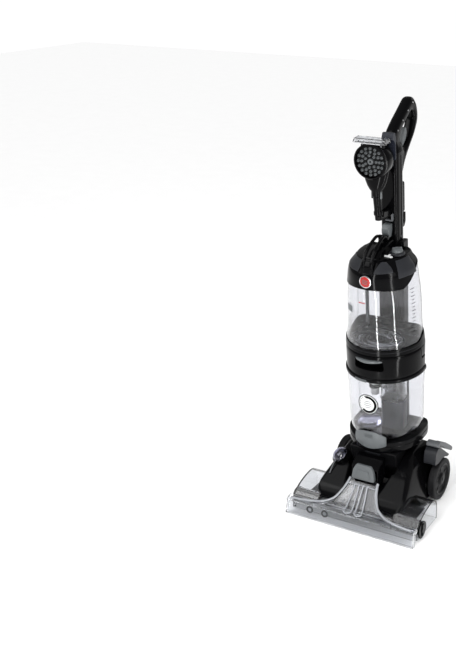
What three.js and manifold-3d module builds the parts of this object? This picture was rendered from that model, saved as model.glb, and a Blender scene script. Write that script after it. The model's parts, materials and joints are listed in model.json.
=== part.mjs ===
// Upright carpet cleaner: a wheeled base with a clear suction nozzle, a row of meshed gear brushes under
// a clear hood, and an upright that reclines on the rear axle. The upright carries the suction motor, a
// recovery tank, a clean-water tank, the handle and a clipped-on hand tool.
// Millimetres, +Z up, the front faces -Y. Parts of the upright are drawn standing straight, in a group
// that leans forward about LEAN_POINT.
import * as THREE from 'three';
import { mergeVertices } from 'three/addons/utils/BufferGeometryUtils.js';
import Module from 'manifold-3d';

// ---------------------------------------------------------------- driving dimensions
const GAP = 0.3;                                // left between touching pieces
const WALL = 3;                                 // moulded wall
const LEAN = THREE.MathUtils.degToRad(4.5);     // forward lean of the upright at rest
const LEAN_POINT = { y: 60, z: 100 };

const NOZZLE = { half: 192, channel: 9 };
const HOOD = { half: 188, step: 112 };
const AXLE = { y: 84, z: 60, r: 5, bore: 5.5 };
const WHEEL = { r: 60, face: 158, width: 22, rim: 47 };
const COCKPIT = { half: 72, front: -58 };       // opening in the base that the upright's foot turns in
const DRUM = { r: 38, half: 69 };               // foot of the upright, round the axle

const BRUSH = { count: 6, teeth: 12, pitchR: 25.2, y: -106, bore: 4.5, post: 4 };
const PINION_TEETH = 8;

const TANK = { axisY: 58, front: -53, back: 96, refHalf: 100 };
const RECOVERY = { low: 216, high: 398 };
const LID = { low: 398.3, high: 475.5 };
const CLEAN = { low: 480.3, high: 724, inset: 2.3 };
const BAND = { low: 476, front: 495, back: 522 };
const CAP = { high: 732, skirtLow: 650, skirtBack: 718 };
const SPINE = { half: 37, front: 98.5, back: 128, low: 216, high: 745 };
const POST = { half: 25, front: 89, back: 130, low: 745.3, high: 985 };
const GRIP_HALF = 15;
const TOOL = { front: -11, z: 985, r: 45 };

// ---------------------------------------------------------------- solids
const wasm = await Module();
wasm.setup();

function solid(geometry) {
  const bare = geometry.clone();
  bare.deleteAttribute('normal');
  bare.deleteAttribute('uv');
  const merged = mergeVertices(bare, 1e-4);
  return new wasm.Manifold(new wasm.Mesh({
    numProp: 3,
    vertProperties: Float32Array.from(merged.attributes.position.array),
    triVerts: Uint32Array.from(merged.index.array),
  }));
}

function geometryOf(body) {
  const mesh = body.getMesh();
  const geometry = new THREE.BufferGeometry();
  geometry.setAttribute('position', new THREE.BufferAttribute(Float32Array.from(mesh.vertProperties), 3));
  geometry.setIndex(new THREE.BufferAttribute(Uint32Array.from(mesh.triVerts), 1));
  geometry.computeVertexNormals();
  return geometry;
}

const join = (...geometries) => geometryOf(geometries.map(solid).reduce((a, b) => a.add(b)));
const cut = (first, ...rest) => geometryOf(rest.map(solid).reduce((a, b) => a.subtract(b), solid(first)));
const common = (...geometries) => geometryOf(geometries.map(solid).reduce((a, b) => a.intersect(b)));

// ---------------------------------------------------------------- shape helpers
const shapeOf = (points) => new THREE.Shape(points.map(([u, v]) => new THREE.Vector2(u, v)));

function extrude(shape, depth, steps = 1, curveSegments = 8) {
  return new THREE.ExtrudeGeometry(shape, { depth, steps, curveSegments, bevelEnabled: false });
}

// A shape drawn in X and Y, raised from low to high.
function plan(shape, low, high, steps = 1, curveSegments = 8) {
  return extrude(shape, high - low, steps, curveSegments).translate(0, 0, low);
}

// A shape drawn in Y and Z, from x = left to x = right.
function side(shape, left, right, steps = 1, curveSegments = 8) {
  const geometry = extrude(shape, right - left, steps, curveSegments);
  const turn = new THREE.Matrix4().makeBasis(
    new THREE.Vector3(0, 1, 0), new THREE.Vector3(0, 0, 1), new THREE.Vector3(1, 0, 0));
  return geometry.applyMatrix4(turn).translate(left, 0, 0);
}

// A shape drawn in X and Z, from y = front to y = back.
function face(shape, front, back, steps = 1, curveSegments = 8) {
  const geometry = extrude(shape, back - front, steps, curveSegments);
  const turn = new THREE.Matrix4().makeBasis(
    new THREE.Vector3(1, 0, 0), new THREE.Vector3(0, 0, 1), new THREE.Vector3(0, -1, 0));
  return geometry.applyMatrix4(turn).translate(0, back, 0);
}

function block(x0, x1, y0, y1, z0, z1) {
  return new THREE.BoxGeometry(x1 - x0, y1 - y0, z1 - z0)
    .translate((x0 + x1) / 2, (y0 + y1) / 2, (z0 + z1) / 2);
}

// Cylinders along each axis, centred in Y and Z (or X and Y, or X and Z), from a to b along the axis.
function rodX(r, a, b, sides = 20) {
  return new THREE.CylinderGeometry(r, r, b - a, sides).rotateZ(Math.PI / 2).translate((a + b) / 2, 0, 0);
}

function rodY(r, a, b, sides = 20, r2 = r) {
  return new THREE.CylinderGeometry(r2, r, b - a, sides).translate(0, (a + b) / 2, 0);
}

function rodZ(r, a, b, sides = 20, r2 = r) {
  return new THREE.CylinderGeometry(r2, r, b - a, sides).rotateX(Math.PI / 2).translate(0, 0, (a + b) / 2);
}

// A body of revolution about Z from a profile of [radius, height] that starts and ends on the axis
// or closes on itself.
function lathe(profile, sides = 24) {
  const points = profile.map(([r, h]) => new THREE.Vector2(r, h));
  if (THREE.ShapeUtils.isClockWise(points)) points.reverse();
  return new THREE.LatheGeometry(points, sides).rotateX(Math.PI / 2);
}

function ring(inner, outer, low, high, sides = 24) {
  return lathe([[inner, low], [outer, low], [outer, high], [inner, high], [inner, low]], sides);
}

function tube(points, radius, steps = 12, sides = 10, closed = false) {
  const path = new THREE.CatmullRomCurve3(points.map(([x, y, z]) => new THREE.Vector3(x, y, z)), closed);
  const section = new THREE.Shape();
  for (let i = 0; i < sides; i++) {
    const a = (2 * Math.PI * i) / sides;
    const point = [radius * Math.cos(a), radius * Math.sin(a)];
    if (i === 0) section.moveTo(...point);
    else section.lineTo(...point);
  }
  return new THREE.ExtrudeGeometry(section, { steps, extrudePath: path, bevelEnabled: false });
}

function roundedRect(width, height, radius) {
  const shape = new THREE.Shape();
  const [w, h] = [width / 2, height / 2];
  shape.moveTo(-w + radius, -h);
  shape.lineTo(w - radius, -h);
  shape.absarc(w - radius, -h + radius, radius, -Math.PI / 2, 0);
  shape.lineTo(w, h - radius);
  shape.absarc(w - radius, h - radius, radius, 0, Math.PI / 2);
  shape.lineTo(-w + radius, h);
  shape.absarc(-w + radius, h - radius, radius, Math.PI / 2, Math.PI);
  shape.lineTo(-w, -h + radius);
  shape.absarc(-w + radius, -h + radius, radius, Math.PI, 1.5 * Math.PI);
  return shape;
}

// Moves every point of a geometry by a rule.
function warp(geometry, rule) {
  const p = geometry.attributes.position;
  for (let i = 0; i < p.count; i++) p.setXYZ(i, ...rule(p.getX(i), p.getY(i), p.getZ(i)));
  return geometry;
}

// Straight-line value between [place, value] pairs.
function along(pairs, at) {
  if (at <= pairs[0][0]) return pairs[0][1];
  for (let i = 1; i < pairs.length; i++) {
    const [a, va] = pairs[i - 1];
    const [b, vb] = pairs[i];
    if (at <= b) return va + ((vb - va) * (at - a)) / (b - a);
  }
  return pairs[pairs.length - 1][1];
}

// ---------------------------------------------------------------- scene
const COLOUR = {
  black: { color: 0x0b0b0c, roughness: 0.25, metalness: 0 },
  darkGrey: { color: 0x3c3e42, roughness: 0.5, metalness: 0 },
  lightGrey: { color: 0x9aa0a3, roughness: 0.45, metalness: 0 },
  clear: { color: 0xd5d9de, roughness: 0.08, metalness: 0, transparent: true, opacity: 0.35 },
  rubber: { color: 0x17181a, roughness: 0.8, metalness: 0 },
  bristle: { color: 0x26282c, roughness: 0.7, metalness: 0 },
  steel: { color: 0xb4b7ba, roughness: 0.35, metalness: 1 },
  white: { color: 0xe8e8e6, roughness: 0.4, metalness: 0 },
};

const machine = new THREE.Group();
const base = new THREE.Group();
const leaning = new THREE.Group();
const upright = new THREE.Group();
leaning.position.set(0, LEAN_POINT.y, LEAN_POINT.z);
leaning.rotation.x = LEAN;
upright.position.set(0, -LEAN_POINT.y, -LEAN_POINT.z);
leaning.add(upright);
machine.add(base, leaning);

function add(parent, name, geometry, colour, place = [0, 0, 0], turn = [0, 0, 0]) {
  const mesh = new THREE.Mesh(geometry, new THREE.MeshStandardMaterial(COLOUR[colour]));
  mesh.name = name;
  mesh.position.set(...place);
  mesh.rotation.set(...turn);
  parent.add(mesh);
  return mesh;
}

// ---------------------------------------------------------------- base: brush hood and nozzle
// Side profile of the clear hood: low in the middle, where the nozzle runs over it, full at both ends.
const HOOD_LOW = [[-156, 4], [-156, 30], [-140, 41], [-112, 55], [-80, 65], [-45, 66], [-29, 54], [-25, 4]];
const HOOD_END = [[-156, 4], [-156, 38], [-134, 56], [-100, 67], [-60, 72], [-36, 65], [-25, 46], [-25, 4]];

function insetProfile(profile, wall) {
  const middle = -90;
  return profile.map(([y, z]) => [y + Math.sign(middle - y) * wall, z - wall]);
}

function hoodForm(inset, lift = 0) {
  const shrink = (profile) => (inset ? insetProfile(profile, inset) : profile);
  const raise = (profile) => shapeOf(shrink(profile).map(([y, z]) => [y, z + lift]));
  const low = side(raise(HOOD_LOW), -HOOD.step - 5, HOOD.step + 5);
  const right = side(raise(HOOD_END), HOOD.step + inset, HOOD.half - inset);
  const left = side(raise(HOOD_END), -HOOD.half + inset, -HOOD.step - inset);
  return join(low, right, left);
}

function brushHood() {
  return cut(hoodForm(0), hoodForm(WALL));
}

// The nozzle is a flat channel: full width at the lip, drawn in to the throat. Half width and top
// height against y.
const FAN_HALF = [[-184, 192], [-164, 192], [-160, 100], [-152, 78], [-143, 66], [-120, 51], [-104, 45],
  [-92, 43]];
const FAN_TOP = [[-184, 43], [-160, 46], [-150, 52], [-138, 62], [-120, 79], [-104, 94], [-92, 104]];

// A slab that follows the fan, from depth `under` below its top to depth `over`, pulled in by `inset`.
function fanForm(inset, under, over, from = -184, to = -92) {
  const stations = [from, ...FAN_HALF.map(([y]) => y).filter((y) => y > from && y < to), to];
  const slab = new THREE.BoxGeometry(2, 1, 1, 6, stations.length - 1, 1);
  return warp(slab, (x, y, z) => {
    const at = stations[Math.round((y + 0.5) * (stations.length - 1))];
    const top = along(FAN_TOP, at);
    return [x * (along(FAN_HALF, at) - inset), at, z > 0 ? top - over : top - under];
  });
}

function nozzleCover() {
  const channel = NOZZLE.channel + WALL;
  const lip = side(shapeOf([[-193, 1], [-190, 1], [-184, 40], [-181, 40], [-181, 43.2], [-187, 43]]),
    -NOZZLE.half, NOZZLE.half);
  const end = side(shapeOf([[-192, 1], [-180, 1], [-172, 34], [-172, 44], [-185, 42.8]]), 0, WALL);
  const fan = cut(fanForm(0, channel, 0), fanForm(WALL, channel + 5, WALL, -185, -91));
  return join(lip, fan, end.clone().translate(NOZZLE.half - WALL, 0, 0), end.translate(-NOZZLE.half, 0, 0));
}

function nozzleBack() {
  const inset = WALL + GAP;
  const under = NOZZLE.channel + WALL;
  const plate = fanForm(inset, under, under - WALL, -175, -92);
  const lip = side(shapeOf([[-184, 1], [-181, 1], [-172, 32], [-172, 35], [-176, 35]]),
    -NOZZLE.half + inset, NOZZLE.half - inset);
  return join(plate, lip);
}

add(base, 'brush_hood', brushHood(), 'clear');
add(base, 'nozzle_cover', nozzleCover(), 'clear');
add(base, 'nozzle_back', nozzleBack(), 'clear');

function sideCap() {
  const disc = new THREE.Shape();
  disc.absarc(0, 0, 24, 0, 2 * Math.PI);
  const web = roundedRect(7, 34, 3);
  return join(side(disc, 0, 4, 1, 10), side(web, 3.9, 7));
}

add(base, 'side_cap_right', sideCap(), 'black', [HOOD.half + GAP, -130, 25]);
add(base, 'side_cap_left', sideCap(), 'black', [-HOOD.half - GAP, -130, 25], [0, Math.PI, 0]);

// ---------------------------------------------------------------- base: gear brushes and their drive
const MODULE = (2 * BRUSH.pitchR) / BRUSH.teeth;

// Outline of a gear with straight-flanked teeth; a tooth points along +X when half is false, a gap when true.
function gearShape(teeth, half) {
  const pitch = (MODULE * teeth) / 2;
  const [root, tip] = [pitch - 1.15 * MODULE, pitch + 0.8 * MODULE];
  const step = (2 * Math.PI) / teeth;
  const points = [];
  for (let i = 0; i < teeth; i++) {
    const middle = (i + (half ? 0.5 : 0)) * step;
    for (const [r, a] of [[root, -0.33], [tip, -0.13], [tip, 0.13], [root, 0.33]]) {
      points.push([r * Math.cos(middle + a * step), r * Math.sin(middle + a * step)]);
    }
  }
  return shapeOf(points);
}

function gearBrush(half) {
  const gear = plan(gearShape(BRUSH.teeth, half), 22, 30);
  const bristles = rodZ(19, 2, 22.1, 16, 16.5);
  const bore = rodZ(BRUSH.bore, 0, 32, 16);
  return cut(join(gear, bristles), bore);
}

const brushX = (i) => (i - (BRUSH.count - 1) / 2) * 2 * BRUSH.pitchR;
for (let i = 0; i < BRUSH.count; i++) {
  add(base, `gear_brush_${i + 1}`, gearBrush(i % 2 === 1), 'bristle', [brushX(i), BRUSH.y, 0]);
}

const PINION_R = (MODULE * PINION_TEETH) / 2;
const PINION = { x: brushX(3), y: BRUSH.y + BRUSH.pitchR + PINION_R };

function brushCarrier() {
  const plate = block(-160, 160, -138, -44, 30.5, 34);
  const skirt = block(-160, 160, -138, -135, 24, 30.6);
  const posts = Array.from({ length: BRUSH.count }, (_, i) => (
    rodZ(BRUSH.post, 6, 31, 16).translate(brushX(i), BRUSH.y, 0)));
  const shaftHole = rodZ(3.6, 28, 40, 12).translate(PINION.x, PINION.y, 0);
  return cut(join(plate, skirt, ...posts), shaftHole);
}

add(base, 'brush_carrier', brushCarrier(), 'darkGrey');

// The pinion's teeth point at the brush gear, along -Y, whose teeth face it with a gap.
function drivePinion() {
  const gear = plan(gearShape(PINION_TEETH, false), 22.5, 29.5).rotateZ(Math.PI / 2);
  return join(gear, rodZ(3, 29.4, 36, 12));
}

add(base, 'drive_pinion', drivePinion(), 'lightGrey', [PINION.x, PINION.y, 0]);
add(base, 'brush_motor', join(rodZ(16, 36.3, 58, 20), rodZ(6, 57.9, 61, 12)), 'steel',
  [PINION.x, PINION.y, 0]);

function sprayBar() {
  const pipe = tube([[-110, -147, 24], [0, -147, 24], [110, -147, 24]], 3, 2, 8);
  const tips = [-100, -50, 0, 50, 100].map((x) => rodZ(2.5, 15, 24, 8, 3.5).translate(x, -147, 0));
  return join(pipe, ...tips);
}

add(base, 'spray_bar', sprayBar(), 'darkGrey');

// ---------------------------------------------------------------- base: shell, pan, axle and wheels
const SHELL_SIDE = [[-136, 20], [-136, 62], [-112, 82], [-60, 118], [10, 158], [50, 168], [100, 162],
  [134, 136], [146, 100], [146, 14], [-30, 14]];
const SHELL_FACE = [[52, 88], [64, 130], [74, 168], [88, 170], [98, 158], [112, 126], [130, 80], [140, 40],
  [143, 10]];
const SHELL_PLAN = [[116, -136], [128, -126], [134, -100], [138, -50], [146, 0], [146, 14], [131, 22],
  [131, 146]];
const DECK = 88;

const mirrored = (half) => [...half, ...half.map(([u, v]) => [-u, v]).reverse()];

function shellForm(inset) {
  const profile = SHELL_SIDE.map(([y, z]) => [
    y < -100 ? y + inset : y > 120 ? y - inset : y, z > 21 ? z - inset * 1.2 : z - inset]);
  const faceHalf = SHELL_FACE.map(([x, z]) => [x > 70 ? x - inset : x + inset, z - inset]);
  const planHalf = SHELL_PLAN.map(([x, y]) => [
    x - inset, y < 0 ? y + inset * 0.6 : y > 100 ? y - inset : y]);
  const low = faceHalf[faceHalf.length - 1][1];
  const otherHalf = faceHalf.map(([x, z]) => [-x, z]).reverse();
  return common(
    side(shapeOf(profile), -160, 160),
    face(shapeOf([[0, DECK - inset], ...faceHalf, ...otherHalf]), -160, 150),
    plan(shapeOf(mirrored(planHalf)), low - 5, 220));
}

// The shell is moulded as two lobes that meet in the middle of the deck.
function shellLobe(s) {
  const c = COCKPIT;
  const cockpit = block(-c.half, c.half, c.front, 200, -10, 250);
  const wideCockpit = block(-c.half - WALL, c.half + WALL, c.front - WALL, 200, -20, 260);
  const walls = cut(cut(shellForm(0), cockpit), cut(shellForm(WALL), wideCockpit));
  const hood = hoodForm(0, GAP);
  const underHood = block(-200, 200, -160, -24.4, -10, 45);
  const bore = rodX(AXLE.r + GAP, -160, 160, 16).translate(0, AXLE.y, AXLE.z);
  const nozzle = fanForm(-GAP, 20, -GAP, -185, -89);
  const otherSide = block(-200, GAP / 2, -200, 200, -10, 250).rotateZ(s > 0 ? 0 : Math.PI);
  return cut(walls, hood, underHood, bore, nozzle, otherSide);
}

add(base, 'shell_right', shellLobe(1), 'black');
add(base, 'shell_left', shellLobe(-1), 'black');

function basePan() {
  const half = 127;
  const floor = block(-half, half, -24, 142, 9, 12.5);
  const rib = block(-60, 60, -23.5, -20.5, 12.4, 34);
  const footRoom = rodX(DRUM.r + 6, -DRUM.half - 3, DRUM.half + 3, 32).translate(0, AXLE.y, AXLE.z);
  return cut(join(floor, rib), footRoom);
}

add(base, 'base_pan', basePan(), 'darkGrey');
add(base, 'rear_axle', rodX(AXLE.r, -WHEEL.face + 4, WHEEL.face - 4, 16), 'steel', [0, AXLE.y, AXLE.z]);

// Wheels are drawn with their axis along Z, outer face up, and turned to face each side.
function wheelHub() {
  const w = WHEEL;
  const disc = lathe([[0, 2], [w.rim - GAP, 2], [w.rim - GAP, w.width - 4], [w.rim - 4, w.width - 1],
    [w.rim - 10, w.width - 6], [16, w.width - 3], [12, w.width], [0, w.width]], 32);
  const hollow = ring(14, w.rim - 8, 0, 9, 24);
  return cut(disc, hollow, rodZ(AXLE.bore, -1, w.width - 4 + GAP, 16));
}

// The tyre is turned by half a facet, so that it stands on a flat one.
function tyre() {
  const w = WHEEL;
  const sides = 40;
  return lathe([[w.rim, 0], [w.r - 3, 0], [w.r, 3], [w.r, w.width - 5], [w.r - 4, w.width - 1],
    [w.rim, w.width - 1], [w.rim, 0]], sides).rotateZ(Math.PI / sides);
}

for (const [name, s] of [['right', 1], ['left', -1]]) {
  const place = [s * (WHEEL.face - WHEEL.width), AXLE.y, AXLE.z];
  const turn = [0, (s * Math.PI) / 2, 0];
  add(base, `wheel_${name}`, wheelHub(), 'darkGrey', place, turn);
  add(base, `tyre_${name}`, tyre(), 'rubber', place, turn);
}

// A guard over the right wheel carries the pedal that lets the upright recline.
const GUARD = [[34, 124], [38, 160], [52, 169], [66, 168], [132, 117], [134, 112]];
const PEDAL = [[46, 174], [48, 184], [62, 188], [108, 162], [150, 134], [155, 124], [148, 120], [138, 126.5],
  [66, 173.5]];

function wheelGuard() {
  const outer = join(side(shapeOf(GUARD), 118, 154), block(108, 126, 36, 124, 96, 124.2));
  return cut(outer, rodX(WHEEL.r + 4, -200, 200, 32).translate(0, AXLE.y, AXLE.z), shellForm(-GAP));
}

add(base, 'wheel_guard', wheelGuard(), 'darkGrey');
add(base, 'release_pedal', side(shapeOf(PEDAL), 119, 156), 'lightGrey');

// ---------------------------------------------------------------- base: duct, latch, indicator
function baseDuct() {
  const outer = shapeOf([[-91, 92], [-91, 140], [-62, 158], [-46, 160], [-46, 106], [-62, 90]]);
  const inner = shapeOf([[-95, 97], [-95, 134], [-62, 152], [-40, 154], [-40, 112], [-62, 97]]);
  return cut(side(outer, -40, 40), side(inner, -36, 36));
}

add(base, 'base_duct', baseDuct(), 'black');

function nozzleLatch() {
  const front = shapeOf([[-34, 108], [34, 108], [31, 134], [22, 151], [-22, 151], [-31, 134]]);
  const slant = shapeOf([[-120, 90], [-120, 200], [-95, 200], [-104, 108], [-104, 90]]);
  return cut(face(front, -104, -91.5), side(slant, -50, 50));
}

add(base, 'nozzle_latch', nozzleLatch(), 'lightGrey');

// A clear dome on the left shoulder shows a small rotor that turns with the flow to the brushes.
const WINDOW = { place: [-100, -46, 134.5], turn: [0.55, -0.45, 0] };
const WINDOW_DOME = [[0, 13], [8, 11], [14, 6], [16, 0], [13, 0], [11.5, 5], [7, 8.5], [0, 10.5]];

function indicatorRotor() {
  const blades = [0, 1, 2].map((i) => block(-8, 8, -1, 1, 1, 4).rotateZ((i * Math.PI) / 3));
  return join(rodZ(3, 0.5, 5, 10), ...blades);
}

add(base, 'indicator_window', lathe(WINDOW_DOME, 20), 'clear', WINDOW.place, WINDOW.turn);
add(base, 'indicator_rotor', indicatorRotor(), 'white', WINDOW.place, WINDOW.turn);

// ---------------------------------------------------------------- upright: tank section
// Half width of the tanks and of what closes them, against height.
const HALF = [[190, 104], [215, 88], [224, 95], [246, 101], [360, 104], [400, 106], [476, 107], [496, 106],
  [530, 101], [607, 99], [650, 95], [683, 91], [706, 87], [732, 66]];
const FRONT = [[190, -48], [215, -42], [224, -49], [246, -53], [690, -53], [706, -49], [732, -22]];

// Outline of the reference section: an elliptical front and a flat back with round corners.
function tankOutline(points = 18) {
  const { axisY, front, back, refHalf } = TANK;
  const corner = 24;
  const outline = [];
  for (let i = 0; i <= points; i++) {
    const a = Math.PI + (Math.PI * i) / points;
    outline.push([refHalf * Math.cos(a), axisY + (axisY - front) * Math.sin(a)]);
  }
  for (let i = 0; i <= 4; i++) {
    const a = (Math.PI / 2) * (i / 4);
    outline.push([refHalf - corner + corner * Math.cos(a), back - corner + corner * Math.sin(a)]);
  }
  for (let i = 0; i <= 4; i++) {
    const a = Math.PI / 2 + (Math.PI / 2) * (i / 4);
    outline.push([-refHalf + corner + corner * Math.cos(a), back - corner + corner * Math.sin(a)]);
  }
  return outline;
}

// The tank form between two heights, pulled in by `inset` on every side.
function tankForm(low, high, inset = 0, levels = []) {
  const stations = [low, ...levels.filter((z) => z > low + 1 && z < high - 1), high];
  const form = plan(shapeOf(tankOutline()), 0, stations.length - 1, stations.length - 1);
  return warp(form, (x, y, z) => {
    const at = stations[Math.round(z)];
    const half = along(HALF, at) - inset;
    const front = along(FRONT, at) + inset;
    const { axisY, back, refHalf } = TANK;
    const depth = y < axisY
      ? axisY + ((y - axisY) * (axisY - front)) / (axisY - TANK.front)
      : axisY + ((y - axisY) * (back - inset - axisY)) / (back - axisY);
    return [(x * half) / refHalf, depth, at];
  });
}

// ---------------------------------------------------------------- upright: foot, motor and spine
// The axle in the coordinates of the upright.
const FOOT_AXLE = {
  y: LEAN_POINT.y + (AXLE.y - LEAN_POINT.y) * Math.cos(LEAN) + (AXLE.z - LEAN_POINT.z) * Math.sin(LEAN),
  z: LEAN_POINT.z - (AXLE.y - LEAN_POINT.y) * Math.sin(LEAN) + (AXLE.z - LEAN_POINT.z) * Math.cos(LEAN),
};

// The foot turns on the axle: a drum, a leg that rises from it, and a deck that the recovery tank sits on.
const FOOT_SIDE = [[-40, 182], [-30, 132], [30, 60], [70, 42], [112, 47], [124, 90], [128, 182]];
const FOOT_HOLLOW = [[-34, 190], [-25, 134], [33, 66], [70, 48], [108, 52], [119, 92], [123, 190]];
const DECK_LOW = 180;
const DECK_HIGH = 215.7;

// The deck is the tank section at its widest, carried further back than the tanks.
function deckForm(low, high, inset) {
  return warp(tankForm(400, 476, inset), (x, y, z) => [
    x * 0.985, y < TANK.axisY ? y * 0.96 : TANK.axisY + (y - TANK.axisY) * 1.9, z < 410 ? low : high]);
}

function motorHousing() {
  const f = DRUM.half;
  const drum = (r, half) => rodX(r, -half, half, 28).translate(0, FOOT_AXLE.y, FOOT_AXLE.z);
  const outer = join(side(shapeOf(FOOT_SIDE), -f, f), drum(DRUM.r, f), deckForm(DECK_LOW, DECK_HIGH, 0));
  const leg = join(side(shapeOf(FOOT_HOLLOW), -f + WALL, f - WALL), drum(DRUM.r - WALL, f - WALL));
  const deck = cut(deckForm(DECK_LOW + WALL, DECK_HIGH - WALL, WALL), block(-60, 60, -100, -42, 150, 250));
  const bore = rodX(AXLE.bore, -f - 1, f + 1, 16).translate(0, FOOT_AXLE.y, FOOT_AXLE.z);
  const inlet = block(-32, 32, -60, 0, 140, 168);
  return cut(outer, leg, deck, bore, inlet);
}

add(upright, 'motor_housing', motorHousing(), 'black');
const suctionMotor = join(rodZ(36, 108, 156, 24), rodZ(12, 101, 108.1, 16), rodZ(3.5, 155.9, 176, 12));
add(upright, 'suction_motor', suctionMotor, 'steel', [0, 66, 0]);

function fanImpeller() {
  const disc = ring(4.2, 38, 160, 162, 24);
  const hub = ring(4.2, 9, 161.9, 170, 24);
  const blades = Array.from({ length: 8 }, (_, i) => (
    block(8, 37, -1, 1, 161.9, 169).rotateZ((i * Math.PI) / 4)));
  return join(disc, hub, ...blades);
}

add(upright, 'fan_impeller', fanImpeller(), 'lightGrey', [0, 66, 0]);
add(upright, 'solution_pump', join(rodX(10, 20, 60, 16), rodX(4, 10, 20.1, 10)), 'darkGrey', [0, 8, 120]);

// The spine is a channel open at the back, standing on the deck and holding the post at its top.
function spine() {
  const s = SPINE;
  const room = block(-s.half + WALL, s.half - WALL, s.front + WALL, s.back + 1, s.low + 6, s.high - 6);
  const ribs = [330, 450, 570, 690].map((z) => block(-s.half, s.half, s.front, s.back - 4, z, z + 3));
  return join(cut(block(-s.half, s.half, s.front, s.back, s.low, s.high), room), ...ribs);
}

add(upright, 'spine', spine(), 'black');

// Shelf on the spine that carries the back of the clean tank.
function tankShelf() {
  const keep = side(shapeOf([[58, 446], [50, 476], [97, 476], [97, 446]]), -120, 120);
  return cut(common(tankForm(446, LID.high, 0), keep), block(-58, 58, 0, 88, 400, 500));
}

add(upright, 'tank_shelf', tankShelf(), 'black');

// ---------------------------------------------------------------- upright: recovery tank
const RECOVERY_LEVELS = [224, 246, 360];

function recoveryTank() {
  const { low, high } = RECOVERY;
  return cut(tankForm(low, high, 0, RECOVERY_LEVELS), tankForm(low + WALL, high + 1, WALL, RECOVERY_LEVELS));
}

add(upright, 'recovery_tank', recoveryTank(), 'clear');

// The lid is open below, cut back for the shelf behind it, and has a hand recess in front.
function recoveryLid() {
  const { low, high } = LID;
  const room = (y, z) => side(shapeOf([[y, z], [y - 9.6, z + 36], [200, z + 36], [200, z]]), -140, 140);
  const aroundHand = block(-48, 48, -60, -18, 430, 480);
  const hollow = cut(tankForm(low - 1, high - WALL, WALL + 1), room(53, 442), aroundHand);
  const hand = join(block(-44, 44, -60, -22, 434, 458), block(-44, 44, -60, -36, 457.9, 470));
  return cut(tankForm(low, high, 0), hollow, room(57.5, 445.6), hand);
}

add(upright, 'recovery_lid', recoveryLid(), 'black');
add(upright, 'lid_grip', tube([[-36, -43, 463], [0, -60, 461], [36, -43, 463]], 5, 8, 8), 'lightGrey');

// Inner tower that the dirty water rises through, with an arm that guides the float beside it.
const TOWER = { x: 20, y: 52 };
const FLOAT = { x: -34, y: 52 };

function recoveryTower() {
  const outer = plan(roundedRect(52, 44, 10), 219.3, 385, 1, 3);
  const inner = plan(roundedRect(46, 38, 8), 222.3, 386, 1, 3);
  const arm = block(FLOAT.x - TOWER.x + 14, -25, -4, 4, 330, 336);
  const guide = ring(12.8, 16, 328, 338, 20).translate(FLOAT.x - TOWER.x, 0, 0);
  return join(cut(outer, inner), arm, guide);
}

const FLOAT_PROFILE = [[0, 303], [9, 304], [12, 310], [12, 350], [8, 356], [0, 357]];
add(upright, 'recovery_tower', recoveryTower(), 'darkGrey', [TOWER.x, TOWER.y, 0]);
add(upright, 'float', lathe(FLOAT_PROFILE, 16), 'white', [FLOAT.x, FLOAT.y, 0]);

// A lens-shaped latch over the lower front of the recovery tank.
function tankLatch() {
  const skin = cut(tankForm(218, 252, -6, [224, 246]), tankForm(210, 256, -1, [224, 246]));
  const lens = new THREE.Shape();
  lens.moveTo(-46, 221);
  lens.quadraticCurveTo(-30, 249, 0, 250);
  lens.quadraticCurveTo(30, 249, 46, 221);
  lens.quadraticCurveTo(0, 217, -46, 221);
  return common(skin, face(lens, -80, 10, 1, 8));
}

add(upright, 'tank_latch', tankLatch(), 'lightGrey');

// ---------------------------------------------------------------- upright: clean-water tank
const CLEAN_LEVELS = [496, 530, 607, 683, 706];

function cleanTank() {
  const { low, high, inset } = CLEAN;
  const room = tankForm(low + WALL, high + 1, inset + WALL, CLEAN_LEVELS);
  return cut(tankForm(low, high, inset, CLEAN_LEVELS), room);
}

add(upright, 'clean_tank', cleanTank(), 'clear');

// The band closes the bottom of the clean tank and sweeps up towards the back.
function tankBand() {
  const levels = [496];
  const room = tankForm(CLEAN.low - GAP, BAND.back + 1, 2, levels);
  const skirt = cut(tankForm(BAND.low, BAND.back, 0, levels), room);
  const sweep = side(shapeOf([[-80, BAND.low - 1], [-80, BAND.front], [40, BAND.front + 2], [97, BAND.back],
    [120, BAND.back], [120, BAND.low - 1]]), -150, 150);
  return common(skirt, sweep);
}

add(upright, 'tank_band', tankBand(), 'black');

const FILL = { x: 44, y: 44 };

// The cap covers the clean tank; its skirt dips at the sides, sweeps up at the back and clears the post.
function tankCap() {
  const low = CAP.skirtLow;
  const room = tankForm(low - 1, CLEAN.high + GAP, 2, [683, 706]);
  const sweep = side(shapeOf([[-80, 666], [-30, 660], [0, 658], [20, 668], [53, 692], [97, CAP.skirtBack],
    [120, CAP.skirtBack], [120, 800], [-80, 800]]), -150, 150);
  const postRoom = block(-POST.half - 1, POST.half + 1, POST.front - 1, 200, 700, 800);
  const fillHole = rodZ(14, CLEAN.high - 1, CAP.high + 1, 24).translate(FILL.x, FILL.y, 0);
  return common(cut(tankForm(low, CAP.high, -1, [683, 706]), room, postRoom, fillHole), sweep);
}

add(upright, 'tank_cap', tankCap(), 'black');

// Carry handle of the clean tank: two bars from a foot on the cap up to a bridge that a latch on the post
// holds.
function carryHandle() {
  const route = (x) => [[x, -43, 722], [x, -35, 740], [0.95 * x, -16, 758], [0.85 * x, 18, 774],
    [0.75 * x, 40, 776], [0.65 * x, 56, 768]];
  const bars = [-12, 12].map((x) => tube(route(x), 5, 9, 8));
  const bridge = rodX(6, -14, 14, 12).translate(0, 56, 768);
  const foot = block(-17, 17, -43, -20, 732.3, 738);
  const toe = block(-17, 17, -44, -36, 724, 738);
  return join(...bars, bridge, foot, toe);
}

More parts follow.
